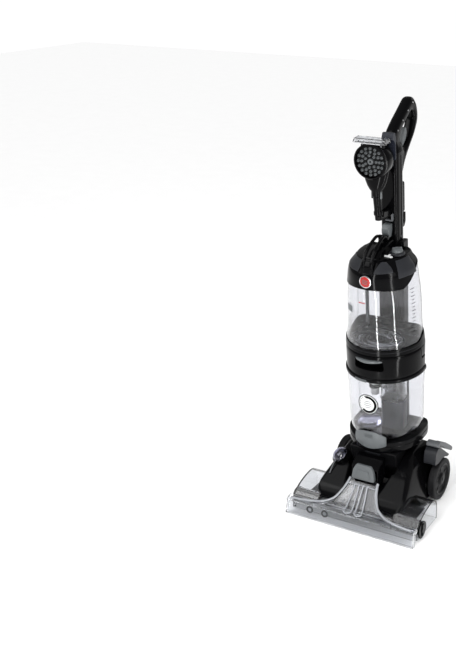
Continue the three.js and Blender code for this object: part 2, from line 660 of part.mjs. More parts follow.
const STRAP_LATCH = [[67, 762], [61, 780], [68, 796], [POST.front - GAP, 798], [POST.front - GAP, 762]];

add(upright, 'carry_handle', carryHandle(), 'black');
add(upright, 'strap_latch', side(shapeOf(STRAP_LATCH), -12, 12), 'lightGrey');

function fillCap() {
  const dome = lathe([[0, 0], [20, 0], [20, 6], [16, 12], [8, 15], [0, 15.5]], 24);
  return join(dome, plan(roundedRect(34, 8, 3.5), 5, 19, 1, 3));
}

add(upright, 'fill_cap', fillCap(), 'darkGrey', [FILL.x, FILL.y, CAP.high + GAP]);
add(upright, 'pickup_tube', rodZ(5, CLEAN.low + WALL + GAP, 660, 10), 'lightGrey', [-58, 66, 0]);
const outletValve = join(rodZ(18, 483.6, 492, 20), rodZ(8, 491.9, 506, 14));
add(upright, 'outlet_valve', outletValve, 'darkGrey', [-20, 20, 0]);

// ---------------------------------------------------------------- handle
const HOUSING_DEPTH = 14;
const SWITCH_Z = 866;

// The post is a hollow section with a housing for the power switch on its back.
function post() {
  const p = POST;
  const [width, depth] = [2 * p.half, p.back - p.front];
  const tubeOf = (inset, low, high) => plan(roundedRect(width - 2 * inset, depth - 2 * inset, 9 - inset),
    low, high, 1, 3).translate(0, (p.front + p.back) / 2, 0);
  const switchHousing = block(-20, 20, p.back - 1, p.back + HOUSING_DEPTH, 812, 895);
  const switchPocket = block(-7.6, 7.6, -8, 1, -13.5, 13.5).translate(0, p.back + HOUSING_DEPTH, SWITCH_Z);
  const outer = join(tubeOf(0, p.low, p.high), switchHousing);
  return cut(outer, tubeOf(WALL, p.low - 1, p.high - 6), switchPocket);
}

add(upright, 'post', post(), 'black');
add(upright, 'power_switch', block(-7, 7, -3, 3, -12, 12), 'lightGrey', [0, POST.back + 13, SWITCH_Z]);
add(upright, 'cord_gland', rodY(6, GAP, 16, 12, 8), 'rubber', [0, POST.back + HOUSING_DEPTH, 826]);

// Hooks for winding the cord: the lower one is fixed, the upper one swivels.
function cordHook() {
  const arm = side(shapeOf([[0, -8], [34, -8], [42, 4], [42, 30], [36, 30], [34, 2], [0, 2]]), -9, 9);
  return join(arm, rodY(11, 0, 6, 16).translate(0, 0, -3));
}

add(upright, 'cord_hook_upper', cordHook(), 'black', [0, POST.back + GAP, 772]);
add(upright, 'cord_hook_lower', cordHook(), 'black', [0, SPINE.back + GAP, 420], [0, Math.PI, 0]);

const LOOP_OUTER = [[89, 985.3], [86, 1012], [98, 1030], [129, 1052], [166, 1073], [205, 1097], [220, 1096],
  [237, 1076], [245, 1050], [244, 1030], [222, 999], [190, 972], [168, 948], [152, 926], [141, 904],
  [130.3, 897], [130.3, 985.3]];
const LOOP_HOLE = [[136, 1004], [147, 1028], [172, 1044], [205, 1062], [217, 1059], [222, 1046], [221, 1037],
  [207, 1009], [182, 985], [162, 978]];

function handleLoop() {
  return cut(side(shapeOf(LOOP_OUTER), -GRIP_HALF, GRIP_HALF),
    side(shapeOf(LOOP_HOLE), -GRIP_HALF - 1, GRIP_HALF + 1));
}

add(upright, 'handle_loop', handleLoop(), 'black');
const TRIGGER = [[156, 985], [162, 979.2], [167, 981], [184, 994], [190, 1010], [186, 1024], [178, 1026],
  [168, 1010]];
add(upright, 'trigger', side(shapeOf(TRIGGER), -7, 7), 'lightGrey');

// ---------------------------------------------------------------- hand tool, clipped in front of the post
// A round head whose brush faces forward, a clear nozzle across its top and a neck that hangs down.
function toolBody() {
  const head = rodY(TOOL.r, TOOL.front + 6, 38, 28).translate(0, 0, TOOL.z);
  const pocket = rodY(TOOL.r - 5, TOOL.front, TOOL.front + 20, 28).translate(0, 0, TOOL.z);
  const taper = shapeOf([[-36, 962], [-31, 935], [-22, 912], [-13, 903], [13, 903], [22, 912], [31, 935],
    [36, 962]]);
  const shoulder = face(taper, 5, 35);
  const neck = tube([[0, 20, 912], [0, 23, 880], [0, 28, 850], [0, 30, 824]], 10, 6, 10);
  const crown = block(-30, 30, 2, 30, 1018, 1030);
  return cut(join(head, shoulder, neck, crown), pocket);
}

add(upright, 'tool_body', toolBody(), 'black');

function toolBrush() {
  const disc = rodY(TOOL.r - 6, TOOL.front, TOOL.front + 12, 28);
  return join(disc, rodY(5, TOOL.front + 11.9, TOOL.front + 19, 12));
}

add(upright, 'tool_brush', toolBrush(), 'bristle', [0, 0, TOOL.z]);

function toolNozzle() {
  const outer = side(shapeOf([[-16, 1030.3], [-16, 1034], [-9, 1041], [16, 1041], [19, 1030.3]]), -43, 43);
  const inner = side(shapeOf([[-17, 1032.6], [-17, 1033.4], [-8, 1038.6], [14, 1038.6], [16, 1032.6]]), -40.5, 40.5);
  return cut(outer, inner);
}

add(upright, 'tool_nozzle', toolNozzle(), 'clear');

// The clip is a block on the post with a cradle for the back of the tool's head.
function toolClip() {
  const arm = block(-12, 12, 38.3, POST.front - GAP, 962, 982);
  const cradle = block(-20, 20, 38.3, 44, 962, 1008);
  const pad = block(-17, 17, POST.front - 5, POST.front - GAP, 950, 982);
  return join(arm, cradle, pad);
}

add(upright, 'tool_clip', toolClip(), 'darkGrey');

machine.updateMatrixWorld(true);
const box = new THREE.Box3().setFromObject(machine);
machine.position.set(-(box.min.x + box.max.x) / 2, -(box.min.y + box.max.y) / 2, -box.min.z);

export default machine;
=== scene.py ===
"""Looks of an upright carpet cleaner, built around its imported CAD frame. Lengths are in millimetres in the
machine's own coordinates, as in the CAD source: BASE pieces stand on the floor, UPRIGHT pieces are drawn
standing straight and lean forward by their matrix."""
import json
import math

import bmesh
import bpy
from mathutils import Matrix, Vector


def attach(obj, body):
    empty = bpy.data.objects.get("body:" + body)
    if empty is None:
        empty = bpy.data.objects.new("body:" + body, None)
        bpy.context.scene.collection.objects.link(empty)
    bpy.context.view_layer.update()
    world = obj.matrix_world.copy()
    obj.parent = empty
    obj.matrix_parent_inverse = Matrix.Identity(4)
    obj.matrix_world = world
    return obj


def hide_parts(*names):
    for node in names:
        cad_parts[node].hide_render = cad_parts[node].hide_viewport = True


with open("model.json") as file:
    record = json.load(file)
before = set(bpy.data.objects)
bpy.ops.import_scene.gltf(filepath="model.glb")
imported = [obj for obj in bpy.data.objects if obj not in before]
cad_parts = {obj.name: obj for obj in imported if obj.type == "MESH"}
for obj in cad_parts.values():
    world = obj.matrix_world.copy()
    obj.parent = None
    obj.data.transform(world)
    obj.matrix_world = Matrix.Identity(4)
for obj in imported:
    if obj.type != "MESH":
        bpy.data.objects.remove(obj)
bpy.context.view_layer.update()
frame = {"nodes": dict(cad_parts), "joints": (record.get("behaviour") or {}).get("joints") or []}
NODES = frame["nodes"]
JOINTS = {joint["name"]: joint for joint in frame["joints"]}

# ---------------------------------------------------------------- coordinates
MM = 0.001
AXLE = (0, 84, 60)                              # the rear axle, which the record places in metres
LEAN_Y, LEAN_Z = 60, 100                        # the point that the upright is leaned about
TURN_POINT = Matrix.Translation((0, LEAN_Y, LEAN_Z))
LEAN = math.radians(4.5)
BASE = (Matrix.Translation(JOINTS["recline"]["pos_m"]) @ Matrix.Scale(MM, 4)
        @ Matrix.Translation([-value for value in AXLE]))
UPRIGHT = BASE @ TURN_POINT @ Matrix.Rotation(LEAN, 4, "X") @ TURN_POINT.inverted()
BASE_BODIES = ("base", "nozzle", "latch_nozzle", "pedal", "rotor", "wheel_r", "wheel_l",
               *(f"brush_{i}" for i in range(1, 7)))

# Tank section of the upright: half width and front against height; the back is flat.
HALF = [(190, 104), (215, 88), (224, 95), (246, 101), (360, 104), (400, 106), (476, 107), (496, 106),
        (530, 101), (607, 99), (650, 95), (683, 91), (706, 87), (732, 66)]
FRONT = [(190, -48), (215, -42), (224, -49), (246, -53), (690, -53), (706, -49), (732, -22)]
TANK_MIDDLE = 58
TANK_BACK = 96
FILLER = Vector((44, 44, 732.4))                # middle of the filling cap's seat
SIDES = ((1, "right"), (-1, "left"))


# ---------------------------------------------------------------- geometry helpers
def steps(low, high, count):
    return [low + (high - low) * i / count for i in range(count + 1)]


def along(pairs, at):
    """The value that a table of (place, value) pairs has at a place."""
    if at <= pairs[0][0]:
        return pairs[0][1]
    for (a, value_a), (b, value_b) in zip(pairs, pairs[1:]):
        if at <= b:
            return value_a + (value_b - value_a) * (at - a) / (b - a)
    return pairs[-1][1]


def soft(pairs, at, reach=6):
    """The same, with the bends of the table smoothed over the reach."""
    return sum(along(pairs, at + reach * k / 3) for k in range(-3, 4)) / 7


def smooth_line(points, per=6, closed=False):
    """Catmull-Rom curve through points of any dimension."""
    points = [Vector(p) for p in points]
    count = len(points)
    out = []
    for i in range(count if closed else count - 1):
        if closed:
            p0, p1, p2, p3 = (points[(i + k) % count] for k in (-1, 0, 1, 2))
        else:
            p0, p1, p2, p3 = (points[min(max(i + k, 0), count - 1)] for k in (-1, 0, 1, 2))
        for k in range(per):
            t = k / per
            out.append(0.5 * (2 * p1 + (p2 - p0) * t + (2 * p0 - 5 * p1 + 4 * p2 - p3) * t * t
                              + (3 * p1 - p0 - 3 * p2 + p3) * t ** 3))
    if not closed:
        out.append(points[-1])
    return out


def rounded(points, radius, arc=4, sharp=()):
    """A closed 2D outline with its corners rounded, apart from those whose index is in sharp."""
    points = [Vector(p) for p in points]
    out = []
    for i, corner in enumerate(points):
        if i in sharp:
            out.append(corner)
            continue
        back = points[i - 1] - corner
        ahead = points[(i + 1) % len(points)] - corner
        reach = min(radius, 0.45 * back.length, 0.45 * ahead.length)
        a = corner + back.normalized() * reach
        b = corner + ahead.normalized() * reach
        for k in range(arc + 1):
            t = k / arc
            out.append(a * (1 - t) ** 2 + corner * 2 * t * (1 - t) + b * t * t)
    return out


def circle(radius, sides=32):
    turns = [2 * math.pi * i / sides for i in range(sides)]
    return [Vector((radius * math.cos(a), radius * math.sin(a))) for a in turns]


def oblong(width, height, radius, arc=5):
    w, h = width / 2, height / 2
    return rounded([(-w, -h), (w, -h), (w, h), (-w, h)], radius * 1.4, arc)


PLANES = {
    "side": lambda p, w: Vector((w, p[0], p[1])),
    "face": lambda p, w: Vector((p[0], w, p[1])),
    "plan": lambda p, w: Vector((p[0], p[1], w)),
}


def loft(rings, loop=False):
    """Faces between rings of equal length. The ends are closed, or loop joins the last ring to the first."""
    size = len(rings[0])
    points = [Vector(p) for ring in rings for p in ring]
    faces = []
    for r in range(len(rings) if loop else len(rings) - 1):
        a, b = r * size, ((r + 1) % len(rings)) * size
        for i in range(size):
            j = (i + 1) % size
            faces.append((a + i, a + j, b + j, b + i))
    if not loop:
        faces.append(tuple(reversed(range(size))))
        faces.append(tuple(range((len(rings) - 1) * size, len(rings) * size)))
    return points, faces


def prism(outline, plane, low, high):
    place = PLANES[plane]
    return loft([[place(p, low) for p in outline], [place(p, high) for p in outline]])


def turned(profile, sides=48, plane="plan", loop=False):
    """A body of revolution about the plane's normal, from (radius, height) pairs."""
    place = PLANES[plane]
    rings = [[place(p, height) for p in circle(max(radius, 0.01), sides)] for radius, height in profile]
    return loft(rings, loop=loop)


def swept(path, section, up=(0, 0, 1), scale=None):
    """A 2D section carried along a path; scale gives (across, up) factors against the share of the way."""
    path = [Vector(p) for p in path]
    rings = []
    last = len(path) - 1
    side = None
    for i, p in enumerate(path):
        ahead = (path[min(i + 1, last)] - path[max(i - 1, 0)]).normalized()
        if side is None:
            side = ahead.cross(Vector(up)).normalized()
        side = (side - ahead * side.dot(ahead)).normalized()
        top = side.cross(ahead)
        a, b = scale(i / last) if scale else (1, 1)
        rings.append([p + side * q[0] * a + top * q[1] * b for q in section])
    return loft(rings)


def joined(*parts):
    points, faces = [], []
    for part_points, part_faces in parts:
        start = len(points)
        points += part_points
        faces += [tuple(start + i for i in face) for face in part_faces]
    return points, faces


def moved(part, place=(0, 0, 0), turn=None):
    """A part turned about the origin and then moved."""
    matrix = Matrix.Translation(place) @ (turn.to_4x4() if turn else Matrix.Identity(4))
    return [matrix @ p for p in part[0]], part[1]


def on_side(part, s):
    """A part that is drawn on the right, or its mirror image on the left."""
    if s > 0:
        return part
    return [Vector((-p.x, p.y, p.z)) for p in part[0]], [tuple(reversed(face)) for face in part[1]]


def rotation(degrees, axis):
    return Matrix.Rotation(math.radians(degrees), 3, axis)


# ---------------------------------------------------------------- objects
def build(name, part, space, material, crease=35):
    mesh = bpy.data.meshes.new(name)
    points, faces = part
    mesh.from_pydata([space @ p for p in points], [], faces)
    tidy = bmesh.new()
    tidy.from_mesh(mesh)
    bmesh.ops.remove_doubles(tidy, verts=tidy.verts, dist=1e-6)
    bmesh.ops.recalc_face_normals(tidy, faces=tidy.faces)
    tidy.to_mesh(mesh)
    tidy.free()
    mesh.shade_smooth()
    mesh.set_sharp_from_angle(angle=math.radians(crease))
    mesh.materials.append(material)
    obj = bpy.data.objects.new(name, mesh)
    bpy.context.scene.collection.objects.link(obj)
    return obj


def applied(obj):
    """Turns the modifiers of obj into mesh."""
    bpy.context.view_layer.update()
    seen = obj.evaluated_get(bpy.context.evaluated_depsgraph_get())
    mesh = bpy.data.meshes.new_from_object(seen)
    obj.modifiers.clear()
    obj.data = mesh


def carved(obj, *parts, space=BASE, crease=35, operation="DIFFERENCE"):
    """Cuts parts out of an object, or joins them to it."""
    for part in parts:
        cutter = build("cutter", part, space, obj.data.materials[0])
        step = obj.modifiers.new("carve", "BOOLEAN")
        step.operation = operation
        step.solver = "EXACT"
        step.object = cutter
        applied(obj)
        bpy.data.objects.remove(cutter)
    obj.data.shade_smooth()
    obj.data.set_sharp_from_angle(angle=math.radians(crease))


def rounding(obj, width, segments, angle=32):
    """The modifier that rounds the sharp edges of an object, with a width in millimetres."""
    bevel = obj.modifiers.new("soften", "BEVEL")
    bevel.width = width * MM
    bevel.segments = segments
    bevel.limit_method = "ANGLE"
    bevel.angle_limit = math.radians(angle)
    bevel.harden_normals = True


def soften(obj, width, segments=3, angle=32):
    rounding(obj, width, segments, angle)
    obj.data.shade_smooth()
    return obj


def fit(obj, body, slot, *nodes):
    """Lets a piece ride on a body and hides the CAD nodes that it replaces. The slot is not used."""
    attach(obj, body)
    if nodes:
        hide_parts(*nodes)


def add(name, part, material, body, *nodes, slot=None, bevel=0, segments=3, crease=35):
    """Builds, softens and fits a piece, and hands fit the material's usual slot unless another is named."""
    obj = build(name, part, BASE if body in BASE_BODIES else UPRIGHT, material, crease)
    if bevel:
        soften(obj, bevel, segments)
    fit(obj, body, slot or SLOTS[material.name], *nodes)


# ---------------------------------------------------------------- materials
CLEAR_IOR = 1.46


def nodes_of(name):
    material = bpy.data.materials.new(name)
    material.use_nodes = True
    tree = material.node_tree
    return material, tree.nodes, tree.links, tree.nodes["Principled BSDF"]


def noise_of(nodes, links, scale, detail=2.0, stretch=(1, 1, 1)):
    coordinates = nodes.new("ShaderNodeTexCoord")
    mapping = nodes.new("ShaderNodeMapping")
    mapping.inputs["Scale"].default_value = stretch
    noise = nodes.new("ShaderNodeTexNoise")
    noise.inputs["Scale"].default_value = scale
    noise.inputs["Detail"].default_value = detail
    links.new(coordinates.outputs["Object"], mapping.inputs["Vector"])
    links.new(mapping.outputs["Vector"], noise.inputs["Vector"])
    return noise.outputs["Fac"]


def spread(nodes, links, source, low, high):
    span = nodes.new("ShaderNodeMapRange")
    span.inputs["From Min"].default_value = 0.3
    span.inputs["From Max"].default_value = 0.7
    span.inputs["To Min"].default_value = low
    span.inputs["To Max"].default_value = high
    links.new(source, span.inputs["Value"])
    return span.outputs["Result"]


def relief(nodes, links, shader, strength, distance, scale, detail):
    """Bump from noise, distance in metres."""
    height = nodes.new("ShaderNodeBump")
    height.inputs["Strength"].default_value = strength
    height.inputs["Distance"].default_value = distance
    links.new(noise_of(nodes, links, scale, detail), height.inputs["Height"])
    links.new(height.outputs["Normal"], shader.inputs["Normal"])


def plastic(name, colour, roughness, vary=0.03, grain=900.0, bump=0.05, shade=0.85, coat=0.0,
            gloss_level=0.4):
    """Moulded plastic: a slightly uneven colour and gloss, over a fine moulded grain."""
    material, nodes, links, shader = nodes_of(name)
    tint = nodes.new("ShaderNodeMix")
    tint.data_type = "RGBA"
    tint.inputs["A"].default_value = (*[c * shade for c in colour], 1)
    tint.inputs["B"].default_value = (*colour, 1)
    cloud = noise_of(nodes, links, 9.0, 3.0)
    links.new(spread(nodes, links, cloud, 0.0, 1.0), tint.inputs["Factor"])
    links.new(tint.outputs["Result"], shader.inputs["Base Color"])
    gloss = noise_of(nodes, links, 24.0, 4.0)
    links.new(spread(nodes, links, gloss, roughness - vary, roughness + vary), shader.inputs["Roughness"])
    if bump:
        relief(nodes, links, shader, bump, 0.0006, grain, 2.0)
    shader.inputs["Coat Weight"].default_value = coat
    shader.inputs["Coat Roughness"].default_value = 0.08
    shader.inputs["Specular IOR Level"].default_value = gloss_level
    return material


def clear_plastic(name, colour, roughness=0.04):
    """Clear moulded polycarbonate with the faint ripple of its mould."""
    material, nodes, links, shader = nodes_of(name)
    shader.inputs["Base Color"].default_value = (*colour, 1)
    shader.inputs["Transmission Weight"].default_value = 1.0
    shader.inputs["IOR"].default_value = CLEAR_IOR
    haze = noise_of(nodes, links, 30.0, 3.0)
    links.new(spread(nodes, links, haze, roughness * 0.6, roughness * 1.6), shader.inputs["Roughness"])
    relief(nodes, links, shader, 0.06, 0.002, 26.0, 1.0)
    return material


def metal(name, colour, roughness):
    material, nodes, links, shader = nodes_of(name)
    shader.inputs["Base Color"].default_value = (*colour, 1)
    shader.inputs["Metallic"].default_value = 1.0
    brushed = noise_of(nodes, links, 320.0, 3.0, (1, 1, 0.05))
    links.new(spread(nodes, links, brushed, roughness - 0.08, roughness + 0.1), shader.inputs["Roughness"])
    return material


# Plastics: name, colour, roughness and how it varies, scale and strength of the grain, shade of the darker
# patches, coat, gloss.
BLACK = plastic("gloss_black", (0.0015, 0.0015, 0.0018), 0.13, 0.03, 1400.0, 0.015, 0.8, 0.0, 0.09)
SATIN = plastic("satin_black", (0.003, 0.003, 0.0035), 0.34, 0.05, 1100.0, 0.10, 0.8, 0.0, 0.12)
DARK = plastic("dark_grey", (0.016, 0.017, 0.02), 0.36, 0.05, 1100.0, 0.10, 0.8, 0.0, 0.22)
LIGHT = plastic("light_grey", (0.088, 0.096, 0.10), 0.34, 0.05, 1100.0, 0.08)
GREY = plastic("mid_grey", (0.08, 0.084, 0.09), 0.42, 0.05, 1100.0, 0.08)
TINT = plastic("slate", (0.014, 0.016, 0.024), 0.30, 0.04, 1100.0, 0.06, 0.85, 0.0, 0.2)
WHITE = plastic("white", (0.72, 0.73, 0.73), 0.35, 0.05, 900.0, 0.05)
RED = plastic("red", (0.33, 0.012, 0.010), 0.25, 0.03, 900.0, 0.02, 0.85, 0.2)
RUBBER = plastic("rubber", (0.008, 0.008, 0.009), 0.60, 0.08, 500.0, 0.25, 0.7, 0.0, 0.2)
BRISTLE = plastic("bristle", (0.012, 0.012, 0.014), 0.55, 0.08, 1600.0, 0.3, 0.6, 0.0, 0.3)
STEEL = metal("steel", (0.55, 0.55, 0.56), 0.32)
CLEAR = clear_plastic("clear", (0.92, 0.93, 0.95))
FROST = clear_plastic("frosted", (0.97, 0.975, 0.985), 0.30)
# Painted highlight: an opaque pale plastic that paints the bright lines of light along thick clear edges,
# ribs and bosses, and the swirls of refracted light in the clean tank's floor.
GLINT = plastic("painted_glint", (0.26, 0.27, 0.29), 0.22, 0.03, 900.0, 0.02, 0.85, 0.3)
TANK = clear_plastic("tank", (0.85, 0.855, 0.88), 0.05)
SMOKE = clear_plastic("smoke", (0.50, 0.50, 0.62), 0.08)
TUFT = plastic("tuft_grey", (0.03, 0.031, 0.035), 0.55, 0.08, 1600.0, 0.3, 0.6, 0.0, 0.3)
FLOOR = plastic("floor", (0.90, 0.90, 0.90), 0.8, 0.05, 40.0, 0.0, 0.985, 0.0, 0.1)
SLOTS = {material.name: slot for slot, materials in (
    ("black_gloss", (BLACK, SATIN)), ("dark_grey", (DARK, TINT)), ("light_grey", (LIGHT, GREY, RED)),
    ("white_plastic", (WHITE,)), ("rubber", (RUBBER,)), ("bristle", (BRISTLE, TUFT)), ("steel", (STEEL,)),
    ("clear_plastic", (CLEAR, FROST, GLINT, TANK, SMOKE))) for material in materials}

# ---------------------------------------------------------------- tank section
FRONT_POINTS = 48                               # points round the front half of a section
CORNER_POINTS = 8
CORNER = 24                                     # corner radius, in a box of half this width and this depth
CORNER_WIDTH, CORNER_DEPTH = 100, 38
PLAIN_HEIGHT = 500                              # where a point's depth is read for a rule


def outline_at(index, z, inset=0.0):
    """Point of the tank section: index runs round the elliptical front, then the two back corners."""
    half = soft(HALF, z) - inset
    front = soft(FRONT, z) + inset
    depth = TANK_BACK - inset - TANK_MIDDLE
    if index <= FRONT_POINTS:
        a = math.pi * (1 + index / FRONT_POINTS)
        return Vector((half * math.cos(a), TANK_MIDDLE + (TANK_MIDDLE - front) * math.sin(a), z))
    step = index - FRONT_POINTS - 1
    side, k = (1, step) if step < CORNER_POINTS else (-1, 2 * CORNER_POINTS - 1 - step)
    a = math.pi / 2 * (k + 1) / CORNER_POINTS
    x = (CORNER_WIDTH - CORNER + CORNER * math.cos(a)) / CORNER_WIDTH * half
    y = (CORNER_DEPTH - CORNER + CORNER * math.sin(a)) / CORNER_DEPTH * depth
    return Vector((side * x, TANK_MIDDLE + y, z))


SECTION_POINTS = FRONT_POINTS + 1 + 2 * CORNER_POINTS


def section(z, inset=0.0):
    """A whole section; z is a height or a rule that gives one from the depth of each point."""
    ring = []
    for index in range(SECTION_POINTS):
        height = z(outline_at(index, PLAIN_HEIGHT).y) if callable(z) else z
        ring.append(outline_at(index, height, inset))
    return ring


def tank_shell(low, high, inset):
    """A clear tank with a rounded floor edge, a wall of its real thickness and an open top."""
    wall = 2.6
    fillet = [(0, 9), (1, 5), (3, 2), (7, 0.4), (12, 0)]
    outer = [section(low + rise, inset + pull) for rise, pull in fillet]
    outer += [section(z, inset) for z in steps(low + 20, high, 18)]
    inner = [section(z, inset + wall) for z in reversed(steps(low + 20, high, 18))]
    inner += [section(low + wall + rise, inset + wall + pull) for rise, pull in reversed(fillet)]
    return loft(outer + inner)


def tanks():
    """Both clear tanks, with a rib down each side."""
    add("clean_tank_shell", tank_shell(480.3, 724, 2.3), TANK, "clean", "clean_tank", crease=50)
    add("recovery_tank_shell", tank_shell(216, 398, 0), TANK, "recovery", "recovery_tank", crease=50)
    for body, low, high, depth in (("clean", 500, 655, 80), ("recovery", 236, 392, 78)):
        for s, name in SIDES:
            rib = [Vector((s * (soft(HALF, z) - 5.2), depth, z)) for z in steps(low, high, 14)]
            add(f"{body}_rib_{name}", swept(rib, circle(1.6, 10)), CLEAR, body)


def tank_marks():
    """Fill line and blank plate on the front of the clean tank, level ticks on its side."""
    def decal(name, low, high, start, end, material):
        front, back = ([[outline_at(i, z, inset) for i in steps(start, end, 8)] for z in (low, high)]
                       for inset in (-0.15, 0.15))
        part = loft([a + b[::-1] for a, b in zip(front, back)])
        add(name, part, material, "clean")

    decal("fill_line", 624, 626.5, 20.5, 23.5, RED)
    decal("rating_plate", 588, 606, 12.5, 16.5, LIGHT)
    for k, z in enumerate(steps(520, 650, 13)):
        length = 2.2 if k % 2 else 1.3
        decal(f"level_tick_{k}", z, z + 1.6, 44 - length / 2, 44 + length / 2, DARK)


def ring_sticker():
    """A plain disc with a ring, an arc, dots and four bars on the front of the recovery tank."""
    centre = (-3, 331)

    def on_tank(x, z, out):
        x, z = centre[0] + x, centre[1] + z
        half = soft(HALF, z) + out
        reach = TANK_MIDDLE - soft(FRONT, z) + out
        return Vector((x, TANK_MIDDLE - reach * math.sqrt(1 - (x / half) ** 2), z))

    def washer(name, inner, outer, out, material, start=0.0, end=2 * math.pi, count=48):
        closed = end - start > 6.28
        turns = [start + (end - start) * i / count for i in range(count if closed else count + 1)]
        corners = ((inner, out), (outer, out), (outer, out - 0.35), (inner, out - 0.35))
        rings = [[on_tank(r * math.cos(a), r * math.sin(a), lift) for r, lift in corners] for a in turns]
        add(name, loft(rings, loop=closed), material, "recovery")

    for k, (inner, outer) in enumerate(((0.4, 7), (6.8, 13), (12.8, 19), (18.8, 24), (23.8, 29))):
        washer(f"sticker_ground_{k}", inner, outer, 0.5, WHITE)
    washer("sticker_edge", 27.4, 30, 1.0, DARK)
    washer("sticker_arc", 18.6, 25.4, 1.4, BLACK, -2.3, 1.9, 36)
    for k, (z, half) in enumerate(((9, 8), (3, 11), (-3, 11), (-9, 8))):
        line = [on_tank(x, z, 0.9) for x in steps(-half, half, 8)]
        add(f"sticker_line_{k}", swept(line, oblong(1.4, 0.6, 0.1, 1), up=(0, 1, 0)), DARK, "recovery")
    for k in range(7):
        a = math.radians(115 + 17 * k)
        dot = [on_tank(23.6 * math.cos(a) + p.x, 23.6 * math.sin(a) + p.y, 1.0) for p in circle(1.5, 10)]
        back = [p + Vector((0, 0.5, 0)) for p in dot]
        add(f"sticker_dot_{k}", loft([dot, back]), DARK, "recovery")


def cap_edge(y):
    """Height of the cap's lower edge."""
    return along([(-60, 665), (-30, 660), (0, 658), (20, 668), (53, 692), (97, 718)], y)


def clean_tank_trim():
    """The cap over the clean tank with its raised panels, and the band under the tank."""
    rings = [section(cap_edge, 1.6), section(lambda y: cap_edge(y) + 0.2, -0.6)]
    rings += [section(lambda y: cap_edge(y) + 1.4, -1.4), section(lambda y: cap_edge(y) + 4, -1.2)]
    for share in (0.2, 0.4, 0.6, 0.8, 1.0):
        rings.append(section(lambda y, share=share: cap_edge(y) + 4
                             + share * (max(cap_edge(y) + 5, 704) - cap_edge(y) - 4), -1.0))
    rings += [section(lambda y, z=z: max(z, cap_edge(y) + 6 + (z - 706) * 0.5), inset)
              for z, inset in ((708, -0.6), (713, 0), (720, 0), (727, 0), (730.5, 1.2), (732, 4))]
    inner = [section(722, 6), section(lambda y: cap_edge(y) + 1, 2.0)]
    cap = build("tank_cap_top", loft(rings + [section(732.4, 14), section(726, 14)] + inner, loop=True),
                UPRIGHT, BLACK, 28)
    notch = prism(((-27, 87), (27, 87), (27, 120), (-27, 120)), "plan", 700, 800)
    top = build("tank_cap_plate", prism([p.xy for p in section(732, 13)], "plan", 727, 732.6), UPRIGHT, BLACK)
    carved(top, prism([p + FILLER.xy for p in circle(14)], "plan", 700, 760), notch, space=UPRIGHT)
    carved(cap, notch, space=UPRIGHT, crease=28)
    fit(cap, "clean", "black_gloss", "tank_cap")
    fit(soften(top, 0.8), "clean", "black_gloss")

    def facet(name, start, end, low, high, lean=0.0):
        """A raised satin panel that follows the cap's shoulder from low to high. Its dark grey is partly the
        panel's own colour and partly painted sheen of the light on the shoulder.
        """
        rows = []
        for share in steps(0, 1, 8):
            z = low + (high - low) * share
            pull = 6 * lean * share * share
            rows.append([outline_at(i, z, -1.6) for i in steps(start + pull, end - pull, 10)])
        back = [[p + Vector((0, 3, -2)) for p in row] for row in rows]
        part = loft([front + rear[::-1] for front, rear in zip(rows, back)])
        add(name, part, DARK, "clean", bevel=0.7, crease=40)

    facet("cap_sheen_facet_left", 6, 19.5, 707, 731)
    facet("cap_sheen_facet_middle", 27.5, 36, 707, 731, 0.5)
    facet("cap_sheen_facet_right", 38, 47.5, 690, 730)

    def band_top(y):
        return along([(-53, 495), (40, 497), (97, 522)], y)

    outer = [section(476.2, 3), section(476.2, 1), section(477.6, -0.4), section(480, -0.6),
             section(486, -0.2)]
    outer += [section(lambda y, s=s: 488 + s * (band_top(y) - 491), 0) for s in (0.0, 0.35, 0.7, 1.0)]
    outer += [section(lambda y: band_top(y) - 1, 0.3), section(band_top, 1.2), section(band_top, 2.1)]
    outer += [section(480, 2.1), section(479.4, 6)]
    add("clean_tank_band", loft(outer), BLACK, "clean", "tank_band", crease=40)
    groove = [section(486.6, -0.35), section(487.4, -0.35), section(487.4, 0.2), section(486.6, 0.2)]
    add("band_seam", loft(groove, loop=True), DARK, "clean")


def emblem():
    """A plain round red button with a steel rim and three bars on the front of the cap."""
    face = rotation(90, "X")
    place = (0, -53.2, 686)
    rim = turned([(0.01, -4), (16, -4), (16, 0), (16.4, 0.8), (16.2, 1.8), (15, 2.2), (14.4, 1.6),
                  (0.01, 1.6)], 48)
    dome = turned([(0.01, 1.0), (14.2, 1.0), (14.2, 1.7), (12, 2.5), (7, 3.1), (0.01, 3.3)], 48)
    bars = [moved(prism(oblong(15, 1.5, 0.5), "plan", 2, 3.6), (0, y, 0)) for y in (-4.5, 0, 4.5)]
    add("emblem_bars", moved(joined(*bars), place, face @ rotation(-12, "Z")), LIGHT, "clean")
    add("emblem_rim", moved(rim, place, face), STEEL, "clean")
    add("emblem_dome", moved(dome, place, face), RED, "clean")


